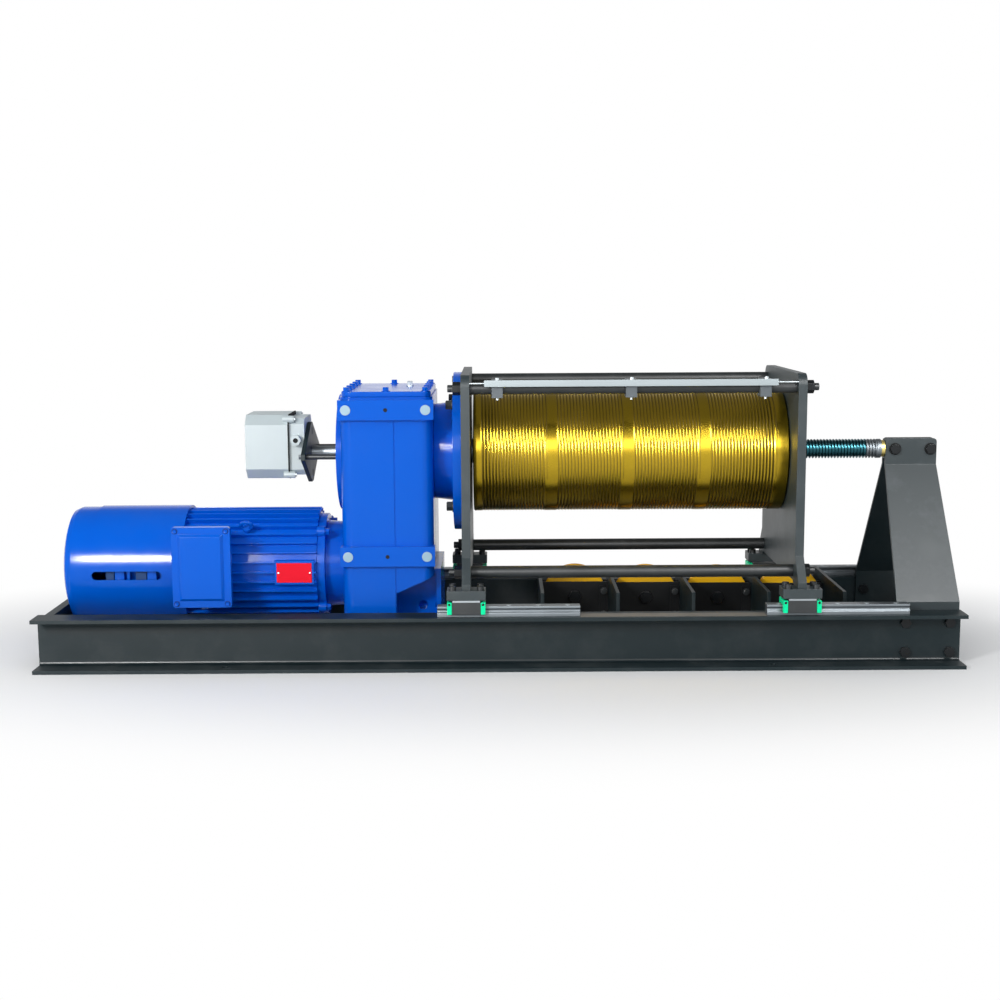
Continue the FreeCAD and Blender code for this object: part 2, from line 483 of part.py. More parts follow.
# Brake motor: finned frame, end shield, cowl with an inspection slot, terminal box.
frame_length = "(motor_right_x - motor_left_x)"
core = rod("frame_core", "X", "motor_left_x", "0", "motor_z", "motor_core", frame_length)
collar = rod("frame_collar", "X", "motor_left_x", "0", "motor_z", "cowl_radius - cowl_wall", "collar_length")
badge_pad = box("badge_pad", "plate_x - badge_rim", "-fin_radius - 1", "motor_z - plate_height / 2 - badge_rim",
                "plate_length + 2 * badge_rim", "badge_depth", "plate_height + 2 * badge_rim")
fins = []
for i in range(36):
    fin = doc.addObject("Part::Box", f"fin_{i}")
    bind(fin, Length=frame_length, Width="fin_thick", Height="fin_radius - motor_core + fin_root")
    turn = FreeCAD.Rotation(V(1, 0, 0), 10 * i)
    fin.Placement = FreeCAD.Placement(V(), turn)
    off = turn.multVec(V(0, -0.5, 0))
    way = turn.multVec(V(0, 0, 1))
    at(fin, "motor_left_x", f"{off.y:.9f} * fin_thick + {way.y:.9f} * (motor_core - fin_root)",
       f"motor_z + {off.z:.9f} * fin_thick + {way.z:.9f} * (motor_core - fin_root)")
    fins.append(fin)
term_pad = box("frame_term_pad", "term_left_x + 2 * term_inset", "-term_pad", "term_low + 2 * term_inset",
               "term_length - 4 * term_inset", "term_pad - term_back", "term_height - 4 * term_inset")
keep("motor_frame", fuse("motor_frame", core, collar, badge_pad, term_pad, *fins))
shield_length = "(box_left_x - shield_left_x)"
shield = turned("shield_turned", [
    ("0", "0"), ("0", "shield_rim_dia / 2"), ("shield_rim_thick", "shield_rim_dia / 2"),
    ("shield_rim_thick", "shield_dia / 2"), (shield_length, "shield_end_dia / 2"), (shield_length, "0")],
    "shield_left_x", "0", "motor_z")
lugs = [rod(f"rim_lug_{i}", "X", "shield_left_x", f"{a} * rim_lug_radius * sqrt(0.5)",
            f"motor_z + {b} * rim_lug_radius * sqrt(0.5)", "rim_lug_dia / 2", "shield_rim_thick")
        for i, (a, b) in enumerate((("-1", "-1"), ("-1", "1"), ("1", "-1"), ("1", "1")))]
keep("motor_shield", fuse("motor_shield", shield, *lugs))
cowl_length = "(cowl_right_x - cowl_left_x)"
cowl = turned("cowl_shell", [
    ("0", "0"), ("0", "cowl_radius - cap_step - cowl_dome"),
    ("cowl_dome * 0.29", "cowl_radius - cap_step - cowl_dome * 0.29"), ("cowl_dome", "cowl_radius - cap_step"),
    ("cap_length", "cowl_radius - cap_step"), ("cap_length", "cowl_radius"), (cowl_length, "cowl_radius"),
    (cowl_length, "cowl_radius - cowl_wall"), ("cap_length + cowl_wall", "cowl_radius - cowl_wall"),
    ("cap_length + cowl_wall", "cowl_radius - cap_step - cowl_wall"),
    ("cowl_dome + cowl_wall", "cowl_radius - cap_step - cowl_wall"),
    ("cowl_wall", "cowl_radius - cap_step - cowl_dome - cowl_wall"), ("cowl_wall", "0")],
    "cowl_left_x", "0", "motor_z")
slot = [box("slot_middle", "slot_left_x + slot_height / 2", "-cowl_radius - cowl_wall", "slot_low",
            "slot_length - slot_height", "slot_depth", "slot_height")]
for i, x in enumerate(("slot_left_x + slot_height / 2", "slot_left_x + slot_length - slot_height / 2")):
    slot.append(rod(f"slot_end_{i}", "Y", x, "-cowl_radius - cowl_wall", "slot_low + slot_height / 2",
                    "slot_height / 2", "slot_depth"))
keep("brake_cowl", cut("brake_cowl", cowl, *slot))
keep("brake_body", turned("brake_body", [
    ("0", "0"), ("0", "brake_radius * 0.8"), ("brake_length * 0.2", "brake_radius"),
    ("brake_length * 0.45", "brake_radius"), ("brake_length * 0.45", "brake_radius * 0.9"),
    ("brake_length * 0.6", "brake_radius * 0.9"), ("brake_length * 0.6", "brake_radius"),
    ("brake_length", "brake_radius"), ("brake_length", "0")], "brake_left_x", "0", "motor_z"))
term = box("term_plain", "term_left_x + term_inset", "-term_front", "term_low + term_inset",
           "term_length - 2 * term_inset", "term_front - term_pad", "term_height - 2 * term_inset")
keep("terminal_box", rounded("terminal_box", term, sizes["lid_round"], lambda e: along(e, V(0, 1, 0))))
lid = box("lid_plain", "term_left_x - lid_lap", "-term_front - lid_thick", "term_low - lid_lap",
          "term_length + 2 * lid_lap", "lid_thick", "term_height + 2 * lid_lap")
lid = rounded("lid_soft", lid, sizes["lid_round"], lambda e: along(e, V(0, 1, 0)))
panel = box("lid_raised", "term_left_x + panel_inset", "-term_front - lid_thick - lid_panel",
            "term_low + panel_inset", "term_length - 2 * panel_inset", "lid_panel + 1",
            "term_height - 2 * panel_inset")
doc.recompute()
bevel = doc.addObject("Part::Chamfer", "lid_bevel")
bevel.Base = panel
front = panel.Shape.BoundBox.YMin
bevel.Edges = [(i, sizes["panel_bevel"], sizes["panel_bevel"]) for i, e in enumerate(panel.Shape.Edges, 1)
               if e.BoundBox.YMax < front + 0.1]
keep("terminal_lid", fuse("terminal_lid", lid, bevel))
keep("cable_gland", hexagon("cable_gland", "Z", "term_left_x + term_length / 2", "-(term_front + term_pad) / 2",
                            "term_low + term_inset - gland_length", "gland_dia", "gland_length"))
eye = doc.addObject("Part::Torus", "eye_loop")
bind(eye, Radius1="eye_ring", Radius2="eye_bar")
eye.Placement = FreeCAD.Placement(V(), FreeCAD.Rotation(V(1, 0, 0), 135))
lift = "(fin_radius + eye_stem + eye_ring) * sqrt(0.5)"
at(eye, "eye_x", "-" + lift, "motor_z + " + lift)
stem = doc.addObject("Part::Cylinder", "eye_collar")
bind(stem, Radius="eye_collar_dia / 2", Height="eye_stem + 2 * eye_bar")
stem.Placement = FreeCAD.Placement(V(), FreeCAD.Rotation(V(1, 0, 0), 45))
foot = "(fin_radius - eye_bar) * sqrt(0.5)"
at(stem, "eye_x", "-" + foot, "motor_z + " + foot)
shell = rod("eye_trim", "X", "eye_x - eye_collar_dia", "0", "motor_z", "fin_radius", "2 * eye_collar_dia")
keep("eye_bolt", cut("eye_bolt", fuse("eye_whole", eye, stem), shell))
keep("blank_plate", box("blank_plate", "plate_x", "-fin_radius - 1 - badge_thick", "motor_z - plate_height / 2",
                        "plate_length", "badge_thick",
                        "plate_height"))

# Geared limit switch on the far end of the drum shaft.
def octagon(half_y, half_z, bevel):
    ring = [(f"{half_y} - {bevel}", f"-({half_z})"), (half_y, f"-({half_z}) + {bevel}"),
            (half_y, f"{half_z} - {bevel}"), (f"{half_y} - {bevel}", half_z)]
    return ring + [(f"-({a})", b) for a, b in reversed(ring)]


def corner_lugs(name, x):
    corners = (("-1", "-1"), ("-1", "1"), ("1", "-1"), ("1", "1"))
    return [rod(f"{name}_{i}", "X", x, f"{a} * (switch_half_y - switch_lug_inset)",
                f"drum_z + switch_rise + {b} * (switch_half_z - switch_lug_inset)", "switch_lug_dia / 2",
                "switch_lug_length") for i, (a, b) in enumerate(corners)]


cover = at(slab("switch_cover_solid", "YZ_Plane", octagon("switch_half_y", "switch_half_z", "switch_chamfer"),
                "switch_base_x - switch_cover_x"), "switch_cover_x", "0", "drum_z + switch_rise")
keep("switch_cover", fuse("switch_cover", cover,
                          *corner_lugs("cover_lug", "switch_base_x - switch_lug_length")))
base = at(slab("switch_base_solid", "YZ_Plane",
               octagon("switch_half_y - switch_step", "switch_half_z - switch_step", "switch_base_chamfer"),
               "switch_plate_x - switch_base_x"), "switch_base_x", "0", "drum_z + switch_rise")
base = fuse("switch_base_whole", base, *corner_lugs("base_lug", "switch_base_x"))
keep("switch_base", cut("switch_base", base, rod(
    "switch_bore", "X", "shaft_end_x - shaft_nose_gap", "0", "drum_z", "shaft_end_dia / 2 + free_gap",
    "switch_plate_x - shaft_end_x + shaft_nose_gap + 1")))
keep("switch_gland", hexagon("switch_gland", "Y", "(switch_base_x + switch_plate_x) / 2",
                             "-switch_half_y + switch_step - switch_gland_length",
                             "drum_z + switch_rise + switch_gland_rise", "switch_gland_dia",
                             "switch_gland_length"))
rhomb = at(slab("switch_plate_solid", "YZ_Plane", [
    ("switch_diag_y", "-switch_tip"), ("switch_diag_y", "switch_tip"), ("switch_crown", "switch_diag_z"),
    ("-switch_crown", "switch_diag_z"), ("-switch_diag_y", "switch_tip"), ("-switch_diag_y", "-switch_tip"),
    ("-switch_crown", "-switch_diag_z"), ("switch_crown", "-switch_diag_z")],
    "switch_plate_thick"), "switch_plate_x", "0", "drum_z")
keep("switch_plate", cut("switch_plate", rhomb, rod("switch_eye", "X", "switch_plate_x - 1", "0", "drum_z",
                                                    "shaft_end_dia / 2 + free_gap", "switch_plate_thick + 2")))
posts = [rod(f"standoff_{i}", "X", "switch_plate_x + switch_plate_thick", f"{s} * standoff_offset", "drum_z",
             "standoff_dia / 2", "box_left_x - boss_length - switch_plate_x - switch_plate_thick")
         for i, s in enumerate(("-1", "1"))]
keep("switch_standoffs", group("switch_standoffs", *posts))

# Rope keeper bar on three clamps round the upper front tie rod.
keep("keeper_bar", box("keeper_bar", "keeper_left_x",
                       "-tie_offset - bracket_half - bracket_reach - keeper_thick", "keeper_z", "keeper_length",
                       "keeper_thick", "keeper_height"))
clamps = []
for i in range(3):
    x = f"bracket_x + {i} * bracket_pitch - bracket_width / 2"
    plain = box(f"bracket_{i}_plain", x, "-tie_offset - bracket_half - bracket_reach", "bracket_low",
                "bracket_width", "2 * bracket_half + bracket_reach", "keeper_z + keeper_height - bracket_low")
    clamps.append(cut(f"bracket_{i}", plain, rod(f"bracket_{i}_bore", "X", x + " - 1", "-tie_offset",
                                                 "tie_upper_z", "tie_dia / 2", "bracket_width + 2")))
keep("keeper_brackets", group("keeper_brackets", *clamps))

sheet.clear("D1:D2")
doc.recompute()
for obj in doc.Objects:
    if "Invalid" in obj.State or "Error" in obj.State:
        raise RuntimeError(obj.Name + " did not compute")
for obj in nodes:
    if obj.Shape.isNull() or not obj.Shape.isValid():
        raise RuntimeError(obj.Label + " has no valid shape")
for obj in nodes:
    obj.Shape.exportStep(f"parts/{obj.Label}.step")
print(len(nodes), "nodes written")
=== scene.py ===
import bpy
import bmesh
import json
import math
from mathutils import Matrix, Vector


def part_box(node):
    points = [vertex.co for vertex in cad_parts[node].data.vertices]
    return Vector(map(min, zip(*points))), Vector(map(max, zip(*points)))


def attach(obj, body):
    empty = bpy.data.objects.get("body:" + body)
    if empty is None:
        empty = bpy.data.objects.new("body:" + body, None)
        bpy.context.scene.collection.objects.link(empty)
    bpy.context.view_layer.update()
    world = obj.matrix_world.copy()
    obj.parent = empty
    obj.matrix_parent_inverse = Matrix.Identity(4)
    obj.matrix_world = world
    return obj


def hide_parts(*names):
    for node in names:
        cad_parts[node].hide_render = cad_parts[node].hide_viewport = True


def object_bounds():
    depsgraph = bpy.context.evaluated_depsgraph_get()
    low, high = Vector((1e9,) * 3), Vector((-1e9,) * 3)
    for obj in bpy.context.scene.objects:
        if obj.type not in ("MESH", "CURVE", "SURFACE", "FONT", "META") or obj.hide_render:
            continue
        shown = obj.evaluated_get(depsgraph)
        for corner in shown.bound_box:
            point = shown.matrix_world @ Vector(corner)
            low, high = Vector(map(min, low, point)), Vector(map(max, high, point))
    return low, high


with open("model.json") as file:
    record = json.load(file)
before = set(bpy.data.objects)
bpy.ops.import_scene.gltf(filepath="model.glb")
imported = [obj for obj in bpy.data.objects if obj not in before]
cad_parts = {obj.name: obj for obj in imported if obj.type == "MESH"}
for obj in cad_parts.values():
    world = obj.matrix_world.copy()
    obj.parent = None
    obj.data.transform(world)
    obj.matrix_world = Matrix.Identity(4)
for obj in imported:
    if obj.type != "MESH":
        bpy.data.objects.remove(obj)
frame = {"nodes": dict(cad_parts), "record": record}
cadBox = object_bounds()
nodes = frame["nodes"]
bodyOf = {n: b for b, members in frame["record"]["behaviour"]["bodies"].items() for n in members}
slotOf = {s["node"]: s["material_slot"] for s in frame["record"]["subparts"]}
scene = bpy.context.scene
mm = 0.001
print("frame loaded:", len(nodes), "nodes")


def addObject(name, data):
    thing = bpy.data.objects.new(name, data)
    scene.collection.objects.link(thing)
    return thing


def setInputs(node, values):
    for label, value in values.items():
        node.inputs[label].default_value = value


def addMath(tree, operation):
    node = tree.nodes.new("ShaderNodeMath")
    node.operation = operation
    return node


def linkAll(tree, pairs):
    for start, end in pairs:
        tree.links.new(start, end)


# shared effects
def newGroup(name, inputs, outputs):
    group = bpy.data.node_groups.new(name, "ShaderNodeTree")
    for label, kind, value in inputs:
        socket = group.interface.new_socket(label, in_out="INPUT", socket_type=kind)
        socket.default_value = value
    for label, kind in outputs:
        group.interface.new_socket(label, in_out="OUTPUT", socket_type=kind)
    return group, group.nodes.new("NodeGroupInput"), group.nodes.new("NodeGroupOutput")


roughSpread = 0.22


def grimeGroup():
    f, c = "NodeSocketFloat", "NodeSocketColor"
    group, gin, gout = newGroup("shopGrime", [
        ("Color", c, (0.1, 0.1, 0.1, 1)), ("Dust", c, (0.3, 0.3, 0.29, 1)), ("Amount", f, 0.2),
        ("Roughness", f, 0.4), ("Patch Scale", f, 9.0), ("Grain Scale", f, 420.0)],
        [("Color", c), ("Roughness", f), ("Height", f)])
    add = group.nodes.new
    coord, split = add("ShaderNodeTexCoord"), add("ShaderNodeSeparateXYZ")
    patch, grain = add("ShaderNodeTexNoise"), add("ShaderNodeTexNoise")
    ramp, lift = add("ShaderNodeMapRange"), add("ShaderNodeMapRange")
    both, mask = addMath(group, "MULTIPLY"), addMath(group, "MULTIPLY")
    rough, mix = addMath(group, "MULTIPLY_ADD"), add("ShaderNodeMix")
    mix.data_type = "RGBA"
    clean, dusty, mixed = mix.inputs[6], mix.inputs[7], mix.outputs[2]  # the sockets of its colour form
    setInputs(patch, {"Detail": 6, "Roughness": 0.65})
    setInputs(ramp, {"From Min": 0.48, "From Max": 0.78})
    setInputs(lift, {"From Min": 0.2, "To Min": 0.35})  # dust settles on what faces up at rest
    rough.inputs[1].default_value = roughSpread
    linkAll(group, (
        (coord.outputs["Object"], patch.inputs["Vector"]), (coord.outputs["Object"], grain.inputs["Vector"]),
        (gin.outputs["Patch Scale"], patch.inputs["Scale"]),
        (gin.outputs["Grain Scale"], grain.inputs["Scale"]),
        (patch.outputs["Fac"], ramp.inputs["Value"]), (coord.outputs["Normal"], split.inputs["Vector"]),
        (split.outputs["Z"], lift.inputs["Value"]), (ramp.outputs["Result"], both.inputs[0]),
        (lift.outputs["Result"], both.inputs[1]), (both.outputs[0], mask.inputs[0]),
        (gin.outputs["Amount"], mask.inputs[1]), (mask.outputs[0], mix.inputs["Factor"]),
        (gin.outputs["Color"], clean), (gin.outputs["Dust"], dusty),
        (patch.outputs["Fac"], rough.inputs[0]), (gin.outputs["Roughness"], rough.inputs[2]),
        (mixed, gout.inputs["Color"]), (rough.outputs[0], gout.inputs["Roughness"]),
        (grain.outputs["Fac"], gout.inputs["Height"])))
    return group


def streakGroup():
    f = "NodeSocketFloat"
    group, gin, gout = newGroup("millStreaks", [
        ("Stretch X", f, 4.0), ("Stretch Y", f, 400.0), ("Stretch Z", f, 400.0)], [("Streak", f)])
    add = group.nodes.new
    coord, join = add("ShaderNodeTexCoord"), add("ShaderNodeCombineXYZ")
    scale, noise = add("ShaderNodeVectorMath"), add("ShaderNodeTexNoise")
    scale.operation = "MULTIPLY"
    setInputs(noise, {"Scale": 1.0, "Detail": 3})
    linkAll(group, [(gin.outputs["Stretch " + axis], join.inputs[axis]) for axis in "XYZ"])
    linkAll(group, (
        (coord.outputs["Object"], scale.inputs[0]), (join.outputs[0], scale.inputs[1]),
        (scale.outputs[0], noise.inputs["Vector"]), (noise.outputs["Fac"], gout.inputs["Streak"])))
    return group


shopGrime, millStreaks = grimeGroup(), streakGroup()

plainLook = dict(metal=0.0, spec=0.5, streak=False, dustColor=(0.26, 0.27, 0.27))
bumpDistance, streakShare = 0.8 * mm, 0.16
finishes = {
    "frame_black": dict(color=(0.028, 0.042, 0.047), rough=0.34, dust=0.22, bump=0.10, spec=0.35),
    # the frame paint darkened as painted shade, for the channels, end beams, rear stand, partitions and
    # switch plate
    "base_black": dict(color=(0.006, 0.017, 0.021), rough=0.36, dust=0.14, bump=0.10, spec=0.24),
    # the frame paint with more and lighter dust for the front stand: partly dust, partly painted sheen on its
    # upward faces
    "stand_black": dict(color=(0.028, 0.042, 0.047), rough=0.34, dust=0.45, bump=0.10, spec=0.35,
                        dustColor=(0.20, 0.22, 0.235)),
    # the channel paint darkened as painted shade, for the rolled fillets
    "root_black": dict(color=(0.008, 0.016, 0.019), rough=0.22, dust=0.05, bump=0.02, spec=0.22),
    "bolt_black": dict(color=(0.006, 0.008, 0.010), rough=0.20, dust=0.03, bump=0.04, spec=0.28),
    "winch_blue": dict(color=(0.000, 0.105, 0.620), rough=0.07, dust=0.02, bump=0.06, spec=0.16),
    "bare_steel": dict(color=(0.28, 0.31, 0.33), rough=0.22, dust=0.12, bump=0.05, metal=1.0, streak=True),
    "rail_steel": dict(color=(0.165, 0.185, 0.20), rough=0.26, dust=0.12, bump=0.05, metal=1.0, streak=True),
    "mill_bare": dict(color=(0.19, 0.175, 0.15), rough=0.45, dust=0.5, bump=0.06, spec=0.3,
                      dustColor=(0.10, 0.095, 0.085)),
    # a deeper blue, painted shade in the lid's screw pockets
    "pocket_blue": dict(color=(0.000, 0.035, 0.240), rough=0.30, dust=0.0, bump=0.03, spec=0.1),
    "bracket_grey": dict(color=(0.085, 0.105, 0.120), rough=0.40, dust=0.1, bump=0.05, spec=0.4),
    "screw_oxide": dict(color=(0.026, 0.11, 0.135), rough=0.18, dust=0.1, bump=0.04, metal=1.0),
    "dark_steel": dict(color=(0.016, 0.020, 0.022), rough=0.30, dust=0.15, bump=0.05, spec=0.45),
    # near black: painted shade in the sheave bays under the drum
    "bay_black": dict(color=(0.004, 0.005, 0.006), rough=0.42, dust=0.05, bump=0.08, spec=0.14),
    "drum_gold": dict(color=(0.44, 0.30, 0.022), rough=0.13, dust=0.25, bump=0.025, metal=1.0,
                      dustColor=(0.36, 0.20, 0.02)),
    # dark brown for the groove bottoms: partly grease, partly painted shade of the grooves
    "groove_shade_and_grease": dict(color=(0.090, 0.058, 0.008), rough=0.32, dust=0.1, bump=0.05, metal=0.8),
    "coil_grey": dict(color=(0.030, 0.075, 0.20), rough=0.5, dust=0.02, bump=0.05, spec=0.06),
    "sheave_yellow": dict(color=(0.98, 0.53, 0.002), rough=0.30, dust=0.03, bump=0.06, spec=0.2),
    "seal_green": dict(color=(0.002, 0.86, 0.38), rough=0.30, dust=0.0, bump=0.05, spec=0.1),
    "aluminium": dict(color=(0.42, 0.46, 0.48), rough=0.32, dust=0.1, bump=0.04, metal=1.0, streak=True),
    "bar_zinc": dict(color=(0.20, 0.225, 0.235), rough=0.42, dust=0.15, bump=0.04, metal=1.0, streak=True),
    "switch_grey": dict(color=(0.48, 0.55, 0.565), rough=0.36, dust=0.12, bump=0.08),
    "plug_grey": dict(color=(0.28, 0.44, 0.54), rough=0.35, dust=0.1, bump=0.05),
    "plate_red": dict(color=(0.90, 0.006, 0.026), rough=0.35, dust=0.02, bump=0.04, spec=0.06),
    "bronze": dict(color=(0.62, 0.50, 0.17), rough=0.30, dust=0.12, bump=0.05, metal=1.0),
    "slot_shadow": dict(color=(0.006, 0.007, 0.008), rough=0.7, dust=0.1, bump=0.05, spec=0.2),
}


def makeFinish(name, look):
    look = {**plainLook, **look}
    mat = bpy.data.materials.new(name)
    mat.use_nodes = True
    tree = mat.node_tree
    link, add = tree.links.new, tree.nodes.new
    shader = tree.nodes["Principled BSDF"]
    setInputs(shader, {"Metallic": look["metal"], "Specular IOR Level": look["spec"]})
    grime, bump = add("ShaderNodeGroup"), add("ShaderNodeBump")
    grime.node_tree = shopGrime
    setInputs(grime, {"Color": (*look["color"], 1), "Dust": (*look["dustColor"], 1), "Amount": look["dust"],
                      "Roughness": look["rough"]})
    setInputs(bump, {"Strength": look["bump"], "Distance": bumpDistance})
    link(grime.outputs["Color"], shader.inputs["Base Color"])
    link(grime.outputs["Height"], bump.inputs["Height"])
    link(bump.outputs["Normal"], shader.inputs["Normal"])
    rough = grime.outputs["Roughness"]
    if look["streak"]:
        streak, mixed = add("ShaderNodeGroup"), addMath(tree, "MULTIPLY_ADD")
        streak.node_tree = millStreaks
        mixed.inputs[1].default_value = streakShare
        link(streak.outputs["Streak"], mixed.inputs[0])
        link(rough, mixed.inputs[2])
        rough = mixed.outputs[0]
    link(rough, shader.inputs["Roughness"])
    return mat


paints = {name: makeFinish(name, look) for name, look in finishes.items()}
print("finishes made:", len(paints))

weldGap = dict(piece=1e-6, node=2e-6, helix=2e-5)


# each corner's normal is weighted by area within its smooth fan, so that broad faces stay flat beside an
# eased edge
def cornerNormals(bm, limit):
    normals = {}
    for v in bm.verts:
        left = set(v.link_faces)
        while left:
            fan, queue = set(), [left.pop()]
            while queue:
                face = queue.pop()
                fan.add(face)
                for e in face.edges:
                    if v in e.verts and len(e.link_faces) == 2 and e.calc_face_angle(0) < limit:
                        beside = [f for f in e.link_faces if f in left]
                        left.difference_update(beside)
                        queue += beside
            total = sum((f.normal * f.calc_area() for f in fan), Vector())
            for f in fan:
                normals[f.index, v.index] = total.normalized() if total.length > 0 else f.normal
    return [normals[f.index, corner.vert.index] for f in bm.faces for corner in f.loops]


def putPiece(bm, name, body, finish, smoothAngle=32, recalc=True, slot=None):
    bmesh.ops.remove_doubles(bm, verts=bm.verts, dist=weldGap["piece"])
    if recalc:
        bmesh.ops.recalc_face_normals(bm, faces=bm.faces)
    bm.normal_update()
    bm.verts.index_update()
    bm.faces.index_update()
    normals = cornerNormals(bm, math.radians(smoothAngle))
    mesh = bpy.data.meshes.new(name)
    bm.to_mesh(mesh)
    bm.free()
    mesh.polygons.foreach_set("use_smooth", [True] * len(mesh.polygons))
    mesh.set_sharp_from_angle(angle=math.radians(smoothAngle))
    mesh.normals_split_custom_set(normals)
    piece = addObject(name, mesh)
    mesh.materials.append(paints[finish])
    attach(piece, body)
    slot = slot or (finish if finish in slotOf.values() else None)
    return piece


def bevelEdges(bm, edges, width):
    bmesh.ops.bevel(bm, geom=edges, offset=width, offset_type="OFFSET", affect="EDGES", segments=2,
                    profile=0.5, material=-1, clamp_overlap=True)


# nodes again with eased edges, in millimetres, so that their corners catch the light
easedEdges = {
    "channel_front": 1.6, "channel_rear": 1.6, "end_beam_left": 2.0, "end_beam_right": 1.5,
    "stand_front": 2.2, "stand_rear": 2.2, "clamp_block": 1.5, "stand_bolts": 0.9,
    "end_plate_left": 1.5, "end_plate_right": 1.5, "tie_rod_nuts": 1.4, "guide_blocks": 2.2,
    "block_seals": 2.0, "block_feet": 1.5, "gearbox_housing": 5.0, "gearbox_cover": 2.5,
    "output_flange": 2.0, "gearbox_plugs": 1.0, "motor_frame": 0.8, "motor_shield": 3.0,
    "brake_cowl": 0.8, "brake_body": 2.0, "terminal_box": 4.0, "terminal_lid": 3.0,
    "cable_gland": 1.5, "eye_bolt": 0.8, "blank_plate": 0.4, "switch_cover": 3.5,
    "switch_base": 2.5, "switch_gland": 1.2, "switch_plate": 1.2, "keeper_bar": 1.0,
    "keeper_brackets": 1.2, "partition_plates": 1.2, "sheave_cheeks_1": 1.0, "sheave_cheeks_2": 1.0,
    "sheave_cheeks_3": 1.0, "sheave_cheeks_4": 1.0, "sheave_axles": 1.2, "sheave_1": 1.2,
    "sheave_2": 1.2, "sheave_3": 1.2, "sheave_4": 1.2, "rail_front_left": 0.8,
    "rail_front_right": 0.8, "rail_rear_left": 0.8, "rail_rear_right": 0.8, "tie_rod_upper_front": 1.5,
    "tie_rod_upper_rear": 1.5, "tie_rod_lower_front": 1.5, "tie_rod_lower_rear": 1.5, "drum_hub_left": 1.0,
    "drum_hub_right": 1.0, "drum_shaft": 1.5, "lead_nut": 1.5, "switch_standoffs": 1.0,
    "screw_bush": 1.0,
}
sheaveNumbers = range(1, 5)
# the darker copies of the frame paint here are painted shade
nodeFinish = {
    **{n: "base_black" for n in ("channel_front", "channel_rear", "end_beam_left", "end_beam_right",
                                 "stand_rear", "partition_plates", "switch_plate")},
    **{f"sheave_cheeks_{i}": "bay_black" for i in sheaveNumbers},
    **{n: "rail_steel" for n in easedEdges if n.startswith("rail_")},
    **{n: "bolt_black" for n in ("stand_bolts", "tie_rod_nuts", "sheave_axles")},
    # the front stand gets the dusty copy, which is partly painted sheen
    "stand_front": "stand_black", "keeper_bar": "bar_zinc", "keeper_brackets": "bracket_grey",
}
easeAngles = dict(flat=0.6, corner=38, bent=12, bentNodes=("stand_front", "stand_rear"))
# room for the strips and screws on the sides of these nodes
sideRelief = dict(nodes=("guide_blocks", "block_seals"), depth=0.4 * mm)
for nodeName, width in easedEdges.items():
    bm = bmesh.new()
    bm.from_mesh(nodes[nodeName].data)
    bmesh.ops.remove_doubles(bm, verts=bm.verts, dist=weldGap["node"])
    bmesh.ops.dissolve_limit(bm, angle_limit=math.radians(easeAngles["flat"]), verts=bm.verts, edges=bm.edges)
    limit = math.radians(easeAngles["bent" if nodeName in easeAngles["bentNodes"] else "corner"])
    corners = [e for e in bm.edges if len(e.link_faces) == 2 and e.calc_face_angle(0) > limit]
    bevelEdges(bm, corners, width * mm)
    if nodeName in sideRelief["nodes"]:
        side = cadBox[1].y - sideRelief["depth"]
        for v in bm.verts:
            v.co.y = max(-side, min(side, v.co.y))
    finish = nodeFinish.get(nodeName, slotOf[nodeName])
    eased = putPiece(bm, nodeName + "_eased", bodyOf[nodeName], finish, recalc=False, slot=slotOf[nodeName])
    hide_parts(nodeName)
print("eased pieces:", len(easedEdges))

# rolled fillets between web and flanges, in the channel paint darkened as painted shade
rootLook = dict(radius=9 * mm, web=258 * mm, levels=((10 * mm, 1), (140 * mm, -1)), steps=6, short=2 * mm)
bm = bmesh.new()
for side in (-1, 1):
    for level, way in rootLook["levels"]:
        rim = [(side * rootLook["web"], level)]
        for i in range(rootLook["steps"] + 1):
            t = math.pi / 2 * i / rootLook["steps"]
            rim.append((side * (rootLook["web"] + rootLook["radius"] * (1 - math.sin(t))),
                        level + way * rootLook["radius"] * (1 - math.cos(t))))
        ends = [[bm.verts.new((x, *point)) for point in rim]
                for x in (cadBox[0].x + rootLook["short"], cadBox[1].x - rootLook["short"])]
        for i in range(len(rim)):
            j = (i + 1) % len(rim)
            bm.faces.new((ends[0][i], ends[0][j], ends[1][j], ends[1][i]))
        bm.faces.new(ends[0])
        bm.faces.new(ends[1])
putPiece(bm, "channel_roots", "base", "root_black")


# turned surfaces with a helical groove: each section is a line that is spun once round while it moves on by
# one pitch, so it closes on itself one turn further, and its rows are then pushed in along the helix
def spunLine(bm, profile, axisZ, steps):
    rim = [bm.verts.new((x, 0, axisZ + r)) for x, r in profile]
    edges = [bm.edges.new((a, b)) for a, b in zip(rim, rim[1:])]
    bmesh.ops.spin(bm, geom=rim + edges, cent=(0, 0, axisZ), axis=(1, 0, 0), angle=2 * math.pi, steps=steps,
                   use_merge=True)


def rimEdges(bm, low, high, radius, axisZ):
    found = []
    for e in bm.edges:
        mid = (e.verts[0].co + e.verts[1].co) / 2
        if e.is_boundary and low < mid.x < high and math.hypot(mid.y, mid.z - axisZ) > radius:
            found.append(e)
    return found


def helixSection(bm, look, radius, axisZ, start, end):
    rise = look["pitch"] / look["perPitch"]
    rows = round((end - start - look["pitch"]) / rise) + 1
    line = [bm.verts.new((start + rise * i, 0, axisZ + radius)) for i in range(rows)]
    edges = [bm.edges.new((a, b)) for a, b in zip(line, line[1:])]
    bmesh.ops.spin(bm, geom=line + edges, cent=(0, 0, axisZ), axis=(1, 0, 0),
                   dvec=(look["pitch"] / look["steps"], 0, 0), angle=2 * math.pi, steps=look["steps"],
                   use_merge=False)
    bmesh.ops.remove_doubles(bm, verts=bm.verts, dist=weldGap["helix"])
    return start + rise * (rows - 1) + look["pitch"]


